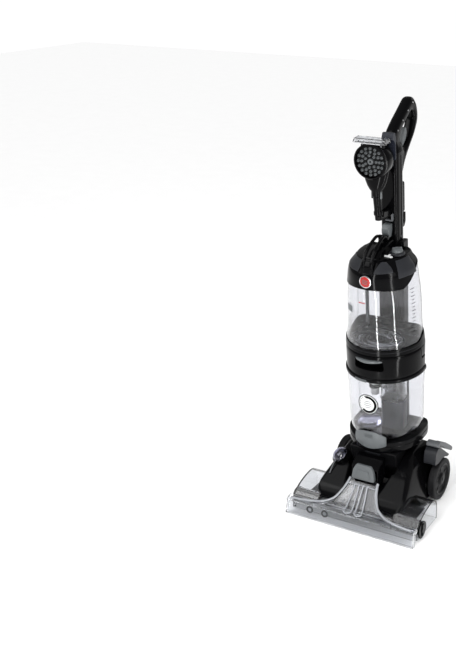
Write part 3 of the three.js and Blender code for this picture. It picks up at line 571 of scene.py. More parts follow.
def strap():
    """Carry handle: two flat bars with a slot between them, a cross bridge, a broad foot and a button."""
    route = smooth_line([(-45, 700), (-44.5, 717), (-37, 737), (-17, 757), (18, 773), (40, 776), (56, 768)],
                        8)
    bar = oblong(8.5, 6, 2.2)
    for s, name in reversed(SIDES):
        path = [(s * along([(-46, 11), (-20, 11), (56, 8.5)], p.x), p.x, p.y) for p in route]
        add(f"strap_bar_{name}", swept(path, bar, up=(0, -0.7, 0.7)), BLACK, "clean", crease=40)
    bridge = moved(turned([(0.01, -14), (6, -14), (6, 14), (0.01, 14)], 32, "side"), (0, 56, 768))
    knuckle = prism(rounded([(-49, 700), (-43, 700), (-36, 722), (-20, 733), (-20, 739), (-33, 741),
                             (-45, 724)], 3), "side", -17, 17)
    web = prism(rounded([(-46, 702), (-43.5, 702), (-34, 738), (-36.5, 738)], 1), "side", -7, 7)
    add("strap_bridge", bridge, BLACK, "clean", bevel=1.2, crease=40)
    add("strap_foot", knuckle, BLACK, "clean", "carry_handle", bevel=1.2, crease=40)
    add("strap_web", web, SATIN, "clean", bevel=1.2, crease=40)
    button = prism(rounded([(70, 763), (64, 776), (64, 787), (74, 797), (88.4, 797), (88.4, 778), (82, 763)],
                           3), "side", -10, 10)
    add("strap_button", button, LIGHT, "latch_strap", "strap_latch", bevel=1.6)


def filler():
    """Filling cap: a milled disc with a domed knob and a finger bar, on a hump, beside a white hinge tab."""
    base = turned([(0.01, 0), (18.5, 0), (19.8, 1.2), (19.8, 6), (18.6, 7.4), (15, 7.8), (13.5, 6.6),
                   (0.01, 6.6)], 64)
    add("filler_disc", moved(base, FILLER), DARK, "filler", "fill_cap")
    knob = turned([(0.01, 6), (14.6, 6), (14.6, 10), (13.4, 14), (10, 16.6), (5, 17.8), (0.01, 18)], 48)
    add("filler_knob", moved(knob, FILLER), LIGHT, "filler")
    bar = prism(oblong(25, 4.4, 2), "plan", 12, 19.4)
    add("filler_bar", moved(bar, FILLER, rotation(35, "Z")), GREY, "filler", bevel=1.4, segments=4)
    collar = turned([(0.01, -14), (17, -14), (17.6, -1), (17, 0.3), (0.01, 0.3)], 64)
    add("filler_collar", moved(collar, (44, 44, 732)), BLACK, "clean")
    hump = prism(rounded([(-14, 731), (14, 747), (56, 755), (86, 756), (86, 731)], 5, 5, (0, 4)),
                 "side", -16, 16)
    add("cap_hump", hump, BLACK, "clean", bevel=4, segments=5)
    ridge = prism(rounded([(-0.7, 19.4), (0.7, 19.4), (0.5, 20.3), (-0.5, 20.3)], 0.3, 2), "plan", 1.5, 6)
    ridges = [moved(ridge, FILLER, rotation(15 * k, "Z")) for k in range(24)]
    add("filler_grip", joined(*ridges), DARK, "filler")
    tab = joined(moved(prism(oblong(24, 6, 2.4), "plan", 732.6, 736), (32, 16, 0), rotation(-6, "Z")),
                 moved(prism(oblong(5, 12, 2), "plan", 732.6, 737), (32, 22, 0)))
    add("filler_tab", tab, WHITE, "clean", bevel=0.6)


def lid():
    """Lid of the recovery tank: a flange below, a seam, a hand recess and its grip."""
    profile = [(398.5, 4), (398.5, -1.6), (399.6, -3.2), (404, -3.6), (407, -3.0), (408.6, -0.4),
               (409.4, 0.6), (410.4, 0.2)]
    rings = [section(z, inset) for z, inset in profile]
    rings += [section(z, 0) for z in steps(414, 466, 9)]
    rings += [section(z, inset) for z, inset in ((471, 0.8), (474, 2.4), (475.4, 5.5))]
    obj = build("lid_body", loft(rings), UPRIGHT, BLACK, 40)
    hand = prism(rounded([(-43, 434), (43, 434), (40, 464), (20, 468), (-20, 468), (-40, 464)], 9, 6),
                 "face", -70, -24)
    shelf_room = prism(((57.2, 440), (48.5, 477), (120, 477), (120, 440)), "side", -140, 140)
    carved(obj, hand, shelf_room, space=UPRIGHT, crease=40)
    fit(soften(obj, 0.7), "recovery", "black_gloss", "recovery_lid")
    path = smooth_line([(-37, -44, 462), (-24, -53.5, 463.4), (0, -58, 462.6), (24, -53.5, 463.4),
                        (37, -44, 462)], 6)
    lip = swept(path, oblong(9, 6, 2.8), scale=lambda t: (0.55 + 0.75 * math.sin(math.pi * t),) * 2)
    add("lid_grip_lip", lip, LIGHT, "recovery", "lid_grip")
    rim_reach, rim_half = 115.6, 108
    for k in range(9):
        x = -38 + 4.1 * k
        y = TANK_MIDDLE - rim_reach * math.sqrt(1 - (x / rim_half) ** 2)
        tooth = prism(oblong(2.9, 7.5, 1), "face", -1.2, 1.6)
        add(f"lid_tooth_{k}", moved(tooth, (x, y, 402.6)), LIGHT, "recovery", bevel=0.4)


# ---------------------------------------------------------------- carried CAD nodes
def dress(names, material, width):
    """Gives CAD nodes that stay their material and softened edges."""
    for name in names.split():
        obj = NODES[name]
        for place in obj.material_slots:
            place.link = "OBJECT"
            place.material = material
        weld = obj.modifiers.new("weld", "WELD")
        weld.merge_threshold = 0.01 * MM
        rounding(obj, width, 2)


def screw(name, place, turn, body, radius=3.0):
    """A countersunk screw head with a cross recess, facing along +Z before its turn."""
    profile = [(0.01, -2), (radius, -2), (radius, 0), (radius * 0.8, 0.7), (0.01, 1)]
    head = build(name, moved(turned(profile, 24), place, turn), UPRIGHT, STEEL)
    cross = [prism(oblong(radius * 1.3, radius * 0.28, 0.1, 1), "plan", 0.35, 3),
             prism(oblong(radius * 0.28, radius * 1.3, 0.1, 1), "plan", 0.35, 3)]
    carved(head, *[moved(part, place, turn) for part in cross], space=UPRIGHT)
    fit(head, body, "steel")


# ---------------------------------------------------------------- inside the tanks
def tank_insides():
    """Tower, float and floor of the recovery tank; floor, outlet, hose and pickup of the clean tank."""
    tower_x, tower_y, wall = 24, 52, 3
    float_place = (-34, 52, 0)

    def box_rings(width, depth, corner, levels):
        return [[Vector((tower_x + p.x * k, tower_y + p.y * k, z)) for p in oblong(width, depth, corner)]
                for z, k in levels]

    def hollow(low, high):
        outer = box_rings(66, 46, 11, [(low, 0.98), (low + 1, 1), (high - 1, 1), (high, 0.99)])
        k = 1 - 2 * wall / 56
        return loft(outer + box_rings(66, 46, 11, [(high, k), (low + wall, k)]))

    add("tower_low", hollow(219.3, 306), TINT, "recovery", "recovery_tower", crease=50)
    add("tower_high", hollow(311, 392), CLEAR, "recovery", crease=50)
    collar = loft(box_rings(70, 50, 12, [(305.6, 1), (306.4, 1.02), (310.4, 1.02), (311.2, 1)]))
    add("tower_collar", collar, FROST, "recovery", slot="dark_grey")
    arm = prism(oblong(36, 8, 2), "plan", 330, 336)
    add("float_arm", moved(arm, (-12, 52, 0)), DARK, "recovery")
    guide = turned([(12.9, 328), (16, 328), (16, 338), (12.9, 338)], 40, loop=True)
    add("float_guide", moved(guide, float_place), DARK, "recovery")
    ball = [(0.01, 303), (7, 303.4), (10.5, 305.5), (12, 310), (12, 320), (11.4, 321), (11.4, 322), (12, 323),
            (12, 350), (10.8, 354), (8, 356.4), (0.01, 357)]
    add("float_body", moved(turned(ball, 40), float_place), WHITE, "float_ball", "float")
    sweep = 3.2
    swirl = []
    for turn_by, reach, tall in ((0.0, 70, 11), (2.4, 64, 10), (4.2, 54, 8), (1.0, 42, 7), (3.3, 30, 6)):
        line = []
        for t in steps(0, sweep, 28):
            r, a = reach + 5 * t, turn_by + t
            line.append(Vector((-6 + r * math.cos(a), 24 + 0.72 * r * math.sin(a),
                                484 + tall * math.sin(math.pi * t / sweep))))
        swirl.append(swept(line, oblong(3.4, 6, 1.4)))
    add("floor_swirl_dark", joined(*swirl[:2]), TINT, "clean")
    # The paler swirls paint the swirls of refracted light in the clear floor.
    add("floor_swirl_painted_light", joined(*swirl[2:]), GLINT, "clean", slot="light_grey")
    dome = [(0.01, 219), (34, 219), (33, 226), (27, 233), (16, 238), (0.01, 239.5)]
    add("floor_dome", moved(turned(dome, 48), (-48, 40, 0)), SMOKE, "recovery")

    for k, (radius, height) in enumerate(((62, 3), (50, 5), (36, 4))):
        ridge = turned([(radius - 1.5, 483), (radius + 1.5, 483), (radius + 1, 483 + height),
                        (radius - 1, 483 + height)], 64, loop=True)
        squashed = [Vector((p.x, p.y * 0.9, p.z)) for p in ridge[0]], ridge[1]
        add(f"floor_ridge_{k}", moved(squashed, (-8, 36, 0)), FROST, "clean")
    valve = [(0.01, 483.6), (18, 483.6), (18, 489), (16.5, 491), (11, 492), (8, 493), (8, 504), (7, 506),
             (0.01, 506)]
    add("outlet_body", moved(turned(valve, 40), (-20, 20, 0)), DARK, "clean", "outlet_valve")
    hose = smooth_line([(-20, 20, 504), (-26, 8, 512), (-44, 6, 512), (-62, 24, 508), (-64, 50, 506),
                        (-58, 66, 512)], 8)
    add("outlet_hose", swept(hose, circle(4.6, 16), up=(0, 0.3, 1)), DARK, "clean")
    tube_line = [Vector((-58, 66, z)) for z in steps(510, 660, 10)]
    add("pickup_pipe", swept(tube_line, circle(5, 20), up=(1, 0, 0)), LIGHT, "clean", "pickup_tube")


def tank_latch():
    """Lens-shaped latch over the lower front of the recovery tank, no deeper than the tank's full section."""
    least_half, least_front = 103, -54.6

    def front_at(x, z, out):
        half = max(soft(HALF, z), least_half) + out
        reach = TANK_MIDDLE - min(soft(FRONT, z), least_front) + out
        return TANK_MIDDLE - reach * math.sqrt(1 - (x / half) ** 2)

    rings = []
    for x in steps(-45.6, 45.6, 32):
        t = x / 46
        high = 236 + 15 * (1 - abs(t) ** 2.2)
        low = 209 - 11 * (1 - t * t)
        high = max(high, low + 1)
        ring = []
        for k in steps(0, 1, 10):
            z = low + (high - low) * k
            bulge = math.sin(math.pi * min(max(k, 0.04), 0.96)) ** 0.45
            ring.append(Vector((x, front_at(x, z, 1.2 + 4.8 * bulge), z)))
        for k in (0.96, 0.5, 0.04):
            z = low + (high - low) * k
            ring.append(Vector((x, front_at(x, z, 1.0), z)))
        rings.append(ring)
    add("tank_latch_lens", loft(rings), LIGHT, "latch_tank", "tank_latch", crease=50)
    for k, z in enumerate((233, 237, 241)):
        line = [Vector((x, front_at(x, z, 6.1), z)) for x in steps(-13 + k, 13 - k, 10)]
        add(f"tank_latch_grip_{k}", swept(line, circle(0.8, 10)), LIGHT, "latch_tank")


# ---------------------------------------------------------------- spine, foot and post
POST_MIDDLE = 109.5


def spine():
    """The ribbed rail behind the tanks. No bar crosses it where the lower cord hook stands."""
    front, back = 98.5, 128
    outline = [(-37, front), (-34, front)]
    for k in range(5):
        x = -28 + 14 * k
        outline += [(x - 4.5, front), (x - 3.6, front - 1.8), (x + 3.6, front - 1.8), (x + 4.5, front)]
    outline += [(34, front), (37, front), (37, back - 3), (34, back), (25, back), (24, back - 2.5),
                (-24, back - 2.5), (-25, back), (-34, back), (-37, back - 3)]
    add("spine_body", prism(outline, "plan", 216, 745), SATIN, "upright", "spine", bevel=0.6, segments=2)
    for k, z in enumerate(steps(250, 720, 10)):
        if k in (3, 4):
            continue
        bar = prism(oblong(46, 5, 1.6), "face", back - 3, back - 0.6)
        add(f"spine_bar_{k}", moved(bar, (0, 0, z)), SATIN, "upright", bevel=0.5)
    for k, (x, z) in enumerate(((-31, 240), (31, 240), (-31, 470), (31, 470), (-31, 700), (31, 700))):
        screw(f"spine_screw_{k}", (x, back, z), rotation(-90, "X"), "upright")


def foot():
    """The foot of the upright: drum round the axle, leg with louvres, and the deck under the tank."""
    full_height = 438

    def deck_ring(z, inset=0.0):
        ring = []
        for i in range(SECTION_POINTS):
            p = outline_at(i, full_height, inset)
            y = p.y * 0.96 if p.y < TANK_MIDDLE else TANK_MIDDLE + (p.y - TANK_MIDDLE) * 1.9
            ring.append(Vector((p.x * 0.985, y, z)))
        return ring

    deck = loft([deck_ring(180, 7), deck_ring(181.5, 3), deck_ring(185, 0.8), deck_ring(190), deck_ring(201),
                 deck_ring(202, 0.9), deck_ring(203.2, 0.9), deck_ring(204.2, 0), deck_ring(211, 0),
                 deck_ring(214.2, 0.8), deck_ring(215.7, 3)])
    add("foot_deck", deck, BLACK, "upright", "motor_housing", crease=40)
    side_view = [(-40, 182), (-30, 132), (30, 60), (70, 42), (112, 47), (124, 90), (128, 182)]
    leg = prism(rounded(side_view, 12, 6, (0, 6)), "side", -69, 69)
    add("foot_leg", leg, SATIN, "upright", bevel=4, segments=4)
    back, up = AXLE[1] - LEAN_Y, AXLE[2] - LEAN_Z
    axle_y = LEAN_Y + back * math.cos(LEAN) + up * math.sin(LEAN)
    axle_z = LEAN_Z - back * math.sin(LEAN) + up * math.cos(LEAN)
    drum = turned([(6, -69), (36, -69), (38, -67), (38, 67), (36, 69), (6, 69)], 64, "side", loop=True)
    add("foot_drum", moved(drum, (0, axle_y, axle_z)), SATIN, "upright")
    for k in range(6):
        louvre = prism(oblong(46 - 3 * k, 3, 1.4), "face", 0, 2.2)
        z = 172 - 8 * k
        y = along([(132, -30), (182, -40)], z) - 1.4
        add(f"louvre_{k}", moved(louvre, (0, y, z)), DARK, "upright", bevel=0.5)
    for k, z in enumerate(steps(100, 160, 7)):
        vent = prism(oblong(62, 3, 1.4), "face", 0, 2)
        y = along([(47, 112), (90, 124), (182, 128)], z) - 0.6
        add(f"exhaust_{k}", moved(vent, (0, y, z)), DARK, "upright", bevel=0.5)


def post_rings(levels):
    """The post's section at each height, scaled."""
    return loft([[Vector((p.x, POST_MIDDLE + p.y, z)) for p in oblong(50 * k, 41 * k, 9, 6)]
                 for z, k in levels])


def post():
    """The post with its side slots, the switch housing, the cord gland and both cord hooks."""
    body = build("post_body", post_rings(((745.3, 0.96), (747, 1), (980, 1), (983.6, 0.985), (985, 0.95))),
                 UPRIGHT, BLACK)
    for side in (1, -1):
        slot_part = prism(rounded([(104, 760), (115, 760), (115, 972), (104, 972)], 5), "side",
                          side * 25 - 1.2, side * 25 + 1.2)
        carved(body, slot_part, space=UPRIGHT)
    fit(soften(body, 0.5), "upright", "black_gloss", "post")
    housing = prism(rounded([(-20, 812), (20, 812), (20, 895), (-20, 895)], 7, 6), "face", 129, 144)
    box = build("switch_housing", housing, UPRIGHT, SATIN)
    carved(box, prism(rounded([(-7.6, 852.5), (7.6, 852.5), (7.6, 879.5), (-7.6, 879.5)], 1.5), "face", 136,
                      150), space=UPRIGHT)
    fit(soften(box, 1.4), "upright", "black_gloss")
    rocker = prism(rounded([(140, 854), (146.4, 854.4), (145.2, 866), (146.8, 877.6), (140, 878)], 1.2),
                   "side", -7, 7)
    add("rocker", rocker, LIGHT, "switch", "power_switch", bevel=0.7)
    for k, z in enumerate((822, 886)):
        for s, name in reversed(SIDES):
            screw(f"switch_screw_{k}_{name[0]}", (14 * s, 144, z), rotation(-90, "X"), "upright", 2.4)
    rings = [(0.01, 0.3), (8.2, 0.3), (8.2, 3)]
    for k in range(4):
        at = 3.6 + 3 * k
        rings += [(7.4 - 0.5 * k, at), (7.6 - 0.5 * k, at + 1.6), (6.4 - 0.5 * k, at + 2.0)]
    rings += [(4.4, 15.6), (3.4, 15.9), (0.01, 15.9)]
    gland = moved(turned(rings, 32), (0, 144, 826), rotation(-90, "X"))
    add("gland", gland, RUBBER, "upright", "cord_gland")

    def hook(flip):
        arm = rounded([(0, -8), (34, -8), (42, 4), (42, 30), (36, 30), (34, 2), (0, 2)], 3, 4, (0, 6))
        arm_part = prism(arm, "side", -9, 9)
        disc = moved(turned([(0.01, 0), (11, 0), (11, 5), (10, 6), (0.01, 6)], 40), (0, 0, -3),
                     rotation(-90, "X"))
        part = joined(arm_part, disc)
        return moved(part, turn=rotation(180, "Y")) if flip else part

    add("hook_upper", moved(hook(False), (0, 130.3, 772)), BLACK, "hook", "cord_hook_upper", bevel=1.6)
    add("hook_lower", moved(hook(True), (0, 128.3, 420)), BLACK, "upright", "cord_hook_lower", bevel=1.6)


# ---------------------------------------------------------------- handle
LOOP_MIDDLE = Vector((180, 1025))
LOOP_OUTER = [(89, 985.3), (86, 1012), (98, 1030), (129, 1052), (166, 1073), (205, 1097), (220, 1096),
              (237, 1076), (245, 1050), (244, 1030), (222, 999), (190, 972), (168, 948), (152, 926),
              (141, 904), (130.4, 897), (130.4, 985.3)]
LOOP_HOLE = [(136, 1004), (147, 1028), (172, 1044), (205, 1062), (217, 1059), (222, 1046), (221, 1037),
             (207, 1009), (182, 985), (162, 978)]
GRIP_HALF = 15
GRIP_POWER = 0.62                               # below 1 squares the round section of the grip


def reach_along(outline, angle):
    """How far a ray from the middle of the loop goes to an outline."""
    way = Vector((math.cos(angle), math.sin(angle)))
    best = 0
    for a, b in zip(outline, outline[1:] + outline[:1]):
        edge = b - a
        cross = way.x * edge.y - way.y * edge.x
        if abs(cross) < 1e-9:
            continue
        to_a = a - LOOP_MIDDLE
        t = (to_a.x * edge.y - to_a.y * edge.x) / cross
        u = (to_a.x * way.y - to_a.y * way.x) / cross
        if t > 0 and -1e-6 <= u <= 1 + 1e-6:
            best = max(best, t)
    return best


def handle():
    """The grip loop with rounded sections, its collar on the post, the trigger and the screws."""
    outer = rounded(LOOP_OUTER, 14, 6, (0, 13, 14, 15))
    hole = rounded(LOOP_HOLE, 12, 6)
    rings = []
    for k in range(180):
        angle = 2 * math.pi * k / 180
        far, near = reach_along(outer, angle), reach_along(hole, angle)
        middle, half = (far + near) / 2, (far - near) / 2
        ring = []
        for p in circle(1, 24):
            across = math.copysign(abs(p.x) ** GRIP_POWER, p.x) * GRIP_HALF
            out = middle + math.copysign(abs(p.y) ** GRIP_POWER, p.y) * half
            at = LOOP_MIDDLE + Vector((math.cos(angle), math.sin(angle))) * out
            ring.append(Vector((across, at.x, at.y)))
        rings.append(ring)
    add("grip_loop", loft(rings, loop=True), BLACK, "upright", "handle_loop", crease=50)
    collar = post_rings(((984.9, 0.9), (986, 0.95), (994, 0.86), (1004, 0.66), (1014, 0.42)))
    add("post_collar", collar, BLACK, "upright", crease=50)
    lever = rounded([(156, 985), (162, 979.2), (167, 981), (184, 994), (190, 1010), (186, 1024), (178, 1026),
                     (168, 1010)], 4)
    add("trigger_lever", prism(lever, "side", -7, 7), LIGHT, "trigger_lever", "trigger", bevel=2.4,
        segments=4)
    for s, name in SIDES:
        for k, (y, z) in enumerate(((120, 1032), (150, 1051), (181, 1069), (212, 1083))):
            place = (0.99 * GRIP_HALF * s, y, z)
            screw(f"grip_screw_{name[0]}_{k}", place, rotation(90 * s, "Y"), "upright", 2.2)


# ---------------------------------------------------------------- hand tool
TOOL_HEIGHT = 985


def hand_tool():
    """The hand tool with its round brush and clear nozzle, its clip, rest and keeper on the post."""
    face = rotation(90, "X")
    profile = [(40, -11), (43.5, -11), (45, -9.4), (45, -6), (44, -4.5), (44, -3.5), (45, -2), (45, 26),
               (42.5, 33), (37, 38), (0.01, 38), (0.01, 9), (40, 9)]
    head = turned([(r, -y) for r, y in profile], 72, loop=True)
    add("tool_head", moved(head, (0, 0, TOOL_HEIGHT), face), BLACK, "tool", "tool_body", crease=40)
    levels = [(972, 39, 14, 20), (962, 37, 15, 20), (948, 34, 15.5, 20), (930, 29, 15.5, 20),
              (917, 24, 15, 20.5), (908, 18.5, 14, 21), (903, 14, 12.4, 22), (896, 13, 12.4, 22),
              (890, 13, 12.4, 22.5), (888, 10.6, 10.6, 23), (868, 10, 10, 25.5), (850, 9.8, 9.8, 28),
              (846, 11.6, 11.6, 28.4), (838, 11.6, 11.6, 29), (836, 9.6, 9.6, 29.4), (824, 9, 9, 30)]
    neck = [[Vector((p.x * a, y + p.y * b, z)) for p in circle(1, 40)] for z, a, b, y in levels]
    add("tool_neck", loft(neck), BLACK, "tool", crease=40)
    crown = prism(rounded([(-31, 1008), (31, 1008), (31, 1023), (26, 1029.6), (-26, 1029.6), (-31, 1023)], 6),
                  "face", 1, 31)
    add("tool_crown", crown, BLACK, "tool", bevel=2.5)
    plate = turned([(0.01, -8), (5, -8), (5, -2), (38.6, -2), (38.6, 3), (38, 4), (0.01, 4)], 64)
    add("brush_plate", moved(plate, (0, 0, TOOL_HEIGHT), face), SATIN, "tool_turbine", "tool_brush",
        slot="bristle")
    for count, radius, size in ((16, 33, 3.5), (12, 24, 3.5), (7, 15.2, 3.3)):
        tuft = turned([(size, 0), (size * 0.92, 5.4), (size * 0.5, 5.8), (size * 0.45, 1)], 14, loop=True)
        tufts = [moved(tuft, (p.x, -4, TOOL_HEIGHT + p.y), face) for p in circle(radius, count)]
        add(f"tool_tufts_{count}", joined(*tufts), LIGHT, "tool_turbine", slot="bristle")
    hub = turned([(2.6, 0), (7.2, 0), (7.2, 5.4), (6.4, 6.4), (3.4, 6.4), (2.6, 5.4)], 40, loop=True)
    add("brush_hub", moved(hub, (0, -4, TOOL_HEIGHT), face), LIGHT, "tool_turbine", slot="bristle")

    outer = rounded([(-16, 1030.3), (-16, 1034), (-9, 1041), (16, 1041), (19, 1030.3)], 2)
    mouth = build("tool_mouth", prism(outer, "side", -43, 43), UPRIGHT, CLEAR)
    carved(mouth, prism(rounded([(-19, 1032.4), (-19, 1033.6), (-8, 1038.8), (14, 1038.8), (16.4, 1032.4)],
                                1), "side", -40.6, 40.6), space=UPRIGHT)
    fit(soften(mouth, 0.8), "tool", "clear_plastic", "tool_nozzle")
    for k, x in enumerate((-30, -15, 0, 15, 30)):
        rib = prism(((-12, 1032.6), (14, 1032.6), (13, 1038.6), (-8, 1038.6)), "side", x - 0.8, x + 0.8)
        add(f"mouth_rib_{k}", rib, CLEAR, "tool")
    # Painted highlight: a slate plate behind the mouth that stands for the grey highlight of the light on the
    # black parts behind the head.
    strip = prism(rounded([(21, 1036), (28, 1050), (37, 1050), (41, 1036), (41, 985), (38.3, 980),
                           (38.3, 1020), (30, 1032)], 1.5), "side", 16, 46)
    add("tool_painted_highlight", strip, TINT, "tool", bevel=1.2)
    for k, (x, z) in enumerate(((-24, 1021), (0, 1024), (24, 1021))):
        screw(f"tool_screw_{k}", (x, 0.8, z), face, "tool", 2.6)
    for s, name in SIDES:
        button = prism(oblong(9, 22, 3), "side", s * 12.2 - 1.2, s * 12.2 + 1.2)
        add(f"tool_button_{name[0]}", moved(button, (0, 22, 893)), LIGHT, "tool", bevel=0.8)
    arm = prism(rounded([(38.3, 962), (88.7, 958), (88.7, 984), (44, 982), (44, 1008), (38.3, 1008)], 3),
                "side", -12, 12)
    add("clip_arm", arm, DARK, "upright", "tool_clip", bevel=1.4)
    pad = prism(oblong(34, 40, 6), "face", 83.7, 88.7)
    add("clip_pad", moved(pad, (0, 0, 966)), DARK, "upright", bevel=1.2)
    cradle = prism(rounded([(-20, 962), (20, 962), (20, 1008), (12, 1010), (8, 1001), (-8, 1001), (-12, 1010),
                            (-20, 1008)], 3), "face", 38.5, 44)
    add("clip_cradle", cradle, DARK, "upright", bevel=1.2)
    rest = prism(rounded([(88.7, 838), (60, 838), (46, 842), (42, 838), (42, 828), (46, 824), (88.7, 820)],
                         3), "side", -9, 9)
    add("neck_rest", rest, BLACK, "upright", bevel=1.4)
    ell = joined(prism(oblong(20, 3.6, 1.2), "face", 80, 88.7),
                 moved(prism(oblong(3.6, 20, 1.2), "face", 80, 88.7), (8.2, 0, 8)))
    add("post_keeper", moved(ell, (4, 0, 806)), GREY, "upright", bevel=0.9)


# ---------------------------------------------------------------- base shell
HOOD_LOW = [(-156, 4), (-156, 30), (-140, 41), (-112, 55), (-80, 65), (-45, 66), (-29, 54), (-25, 4)]
HOOD_END = [(-156, 4), (-156, 38), (-134, 56), (-100, 67), (-60, 72), (-36, 65), (-25, 46), (-25, 4)]
HOOD_MIDDLE = -90
FAN_HALF = [(-178, 126), (-168, 112), (-160, 97), (-152, 79), (-143, 66), (-120, 51), (-104, 45), (-92, 43)]
FAN_TOP = [(-178, 43.6), (-160, 46), (-150, 52), (-138, 62), (-120, 79), (-104, 94), (-92, 104)]
SHELL_TOP = [(-136, 62), (-112, 82), (-60, 118), (10, 158), (50, 168), (100, 162), (134, 136), (146, 100)]
SHELL_FACE = [(0, 88), (52, 88), (64, 130), (74, 168), (88, 170), (98, 158), (112, 126), (130, 80), (140, 40),
              (143, 10)]
SHELL_PLAN = [(-136, 116), (-126, 128), (-100, 134), (-50, 138), (0, 146), (14, 146), (22, 131), (146, 131)]


def least(a, b, blend):
    """The smaller of two values, with a smooth passage from one to the other."""
    near = max(blend - abs(a - b), 0) / blend
    return min(a, b) - near * near * blend / 4


def edge_drop(distance, radius):
    """How far a rounded edge lies below the top, at a distance from the side."""
    if distance >= radius:
        return 0
    return radius - math.sqrt(radius * radius - (radius - max(distance, 0)) ** 2)


def shell_height(x, y):
    """Top of the shell: its side view and its front view run together, with rounded edges."""
    height = least(soft(SHELL_TOP, y, 9), soft(SHELL_FACE, x, 5), 18)
    height -= edge_drop(soft(SHELL_PLAN, y, 6) - x, 9)
    height -= edge_drop(y - SHELL_PLAN[0][0], 20)
    return height - edge_drop(SHELL_PLAN[-1][0] - y, 10)


def hood_profiles(pull):
    """Side outlines of the clear hood's low middle and of its two full ends, pulled in by a wall."""
    out = []
    for points in (HOOD_LOW, HOOD_END):
        pulled = [Vector((y + math.copysign(pull, HOOD_MIDDLE - y), z - pull)) for y, z in points]
        if pull:
            pulled[0].y = pulled[-1].y = -30
        out.append(rounded(pulled, 12, 5, (0, len(points) - 1)))
    return out


def fan(inset, over, under, low=-178, high=-92):
    """A slab that follows the nozzle's fan, from over to under below its crowned top."""
    rings = []
    for y in steps(low, high, 28):
        half = soft(FAN_HALF, y, 5) - inset
        top = soft(FAN_TOP, y, 5) - over
        row = [Vector((-half, y, top + over - under)), Vector((-half, y, top - 1.6))]
        for x in steps(-half + 1.4, half - 1.4, 14):
            row.append(Vector((x, y, top + 2.2 * (1 - (x / half) ** 2))))
        row += [Vector((half, y, top - 1.6)), Vector((half, y, top + over - under))]
        for x in reversed(steps(-half + 2, half - 2, 6)):
            row.append(Vector((x, y, top + over - under + (2.2 * (1 - (x / half) ** 2) if under > 9 else 0))))
        rings.append(row)
    return loft(rings)


def shell_lobe(s, name):
    """The glossy shell on one side of the cockpit, cut to the hood and the nozzle; s is 1 on the right."""
    seam = 0.15
    rings = []
    stations = [-136, -135.6, -134.5, -133, -131, -128, -124, -120] + steps(-114, 130, 44)
    stations += [134, 137, 139.5, 141.5, 143.4, 144.8, 145.7, 146]
    for y in stations:
        edge = soft(SHELL_PLAN, y, 6)
        low = 20 - 6 * (y + 136) / 106 if y < -30 else 14
        low = max(low, 24) if y < -24 else low
        across = [seam + (edge - seam) * t for t in [0, 0.15, 0.3] + steps(0.36, 0.93, 34)]
        across += [edge - d for d in (8, 6, 4, 2.6, 1.4, 0.6, 0.15, 0)]
        ring = [Vector((x, y, max(shell_height(x, y), low + 1))) for x in sorted(across)]
        ring += [Vector((edge, y, low)), Vector((seam, y, low))]
        rings.append(ring)
    lobe = build(f"shell_lobe_{name}", on_side(loft(rings), s), BASE, BLACK, 40)
    cockpit = prism(rounded([(-72, -58), (72, -58), (72, 220), (-72, 220)], 10), "plan", -10, 260)
    low, end = hood_profiles(0)
    grow, grow_end = ([Vector((p.x + math.copysign(0.3, p.x - HOOD_MIDDLE), p.y + 0.3)) for p in outline]
                      for outline in (low, end))
    for outline in (grow, grow_end):
        outline[0].y = outline[-1].y = -20
    cuts = [cockpit, prism(grow, "side", -120, 120), fan(-0.4, -0.4, 30, -185, -90)]
    cuts.append(prism(grow_end, "side", 112, 200) if s > 0 else prism(grow_end, "side", -200, -112))
    carved(lobe, *cuts, crease=40)
    fit(soften(lobe, 0.8, 3, 40), "base", "black_gloss", f"shell_{name}")
    trim = [Vector((s * (soft(SHELL_PLAN, y, 6) + 0.5), y, 26)) for y in steps(-20, 12, 16)]
    add(f"shell_trim_{name}", swept(trim, oblong(1.6, 3, 0.7)), DARK, "base")


def hood():
    """The clear hood with its rails, and the round side caps."""
    low, end = hood_profiles(0)
    low_in, end_in = hood_profiles(3)
    body = build("hood_cover", prism(low, "side", -117, 117), BASE, CLEAR)
    carved(body, prism(end, "side", 112, 188), prism(end, "side", -188, -112), operation="UNION")
    carved(body, prism(low_in, "side", -118, 118), prism(end_in, "side", 115, 185),
           prism(end_in, "side", -185, -115))
    fit(soften(body, 1.2, 3), "base", "clear_plastic", "brush_hood")
    for s, name in SIDES:
        drop = [(-153, 26), (-150, 12), (-141, 3), (-130, 1), (-119, 4), (-109, 13), (-106, 25), (-109, 37),
                (-119, 46), (-131, 49), (-143, 46), (-151, 37)]
        disc = prism(smooth_line(drop, 6, closed=True), "side", 188.3, 192.3)
        web = prism(rounded([(-134, 7), (-126, 7), (-124, 43), (-136, 43)], 3), "side", 192.2, 195.2)
        hub = moved(turned([(0.01, 192.2), (9, 192.2), (9, 194), (7.5, 195), (0.01, 195.1)], 40, "side"),
                    (0, -130, 25))
        for piece, part in (("cap", disc), ("web", web), ("hub", hub)):
            replaced = (f"side_cap_{name}",) if piece == "cap" else ()
            add(f"side_{piece}_{name}", on_side(part, s), BLACK, "base", *replaced, bevel=1.3)
        bead = [Vector((s * x, -135.5, 54.4)) for x in steps(118, 186, 8)]
        add(f"hood_bead_{name}", swept(bead, circle(1.5, 12)), CLEAR, "base")


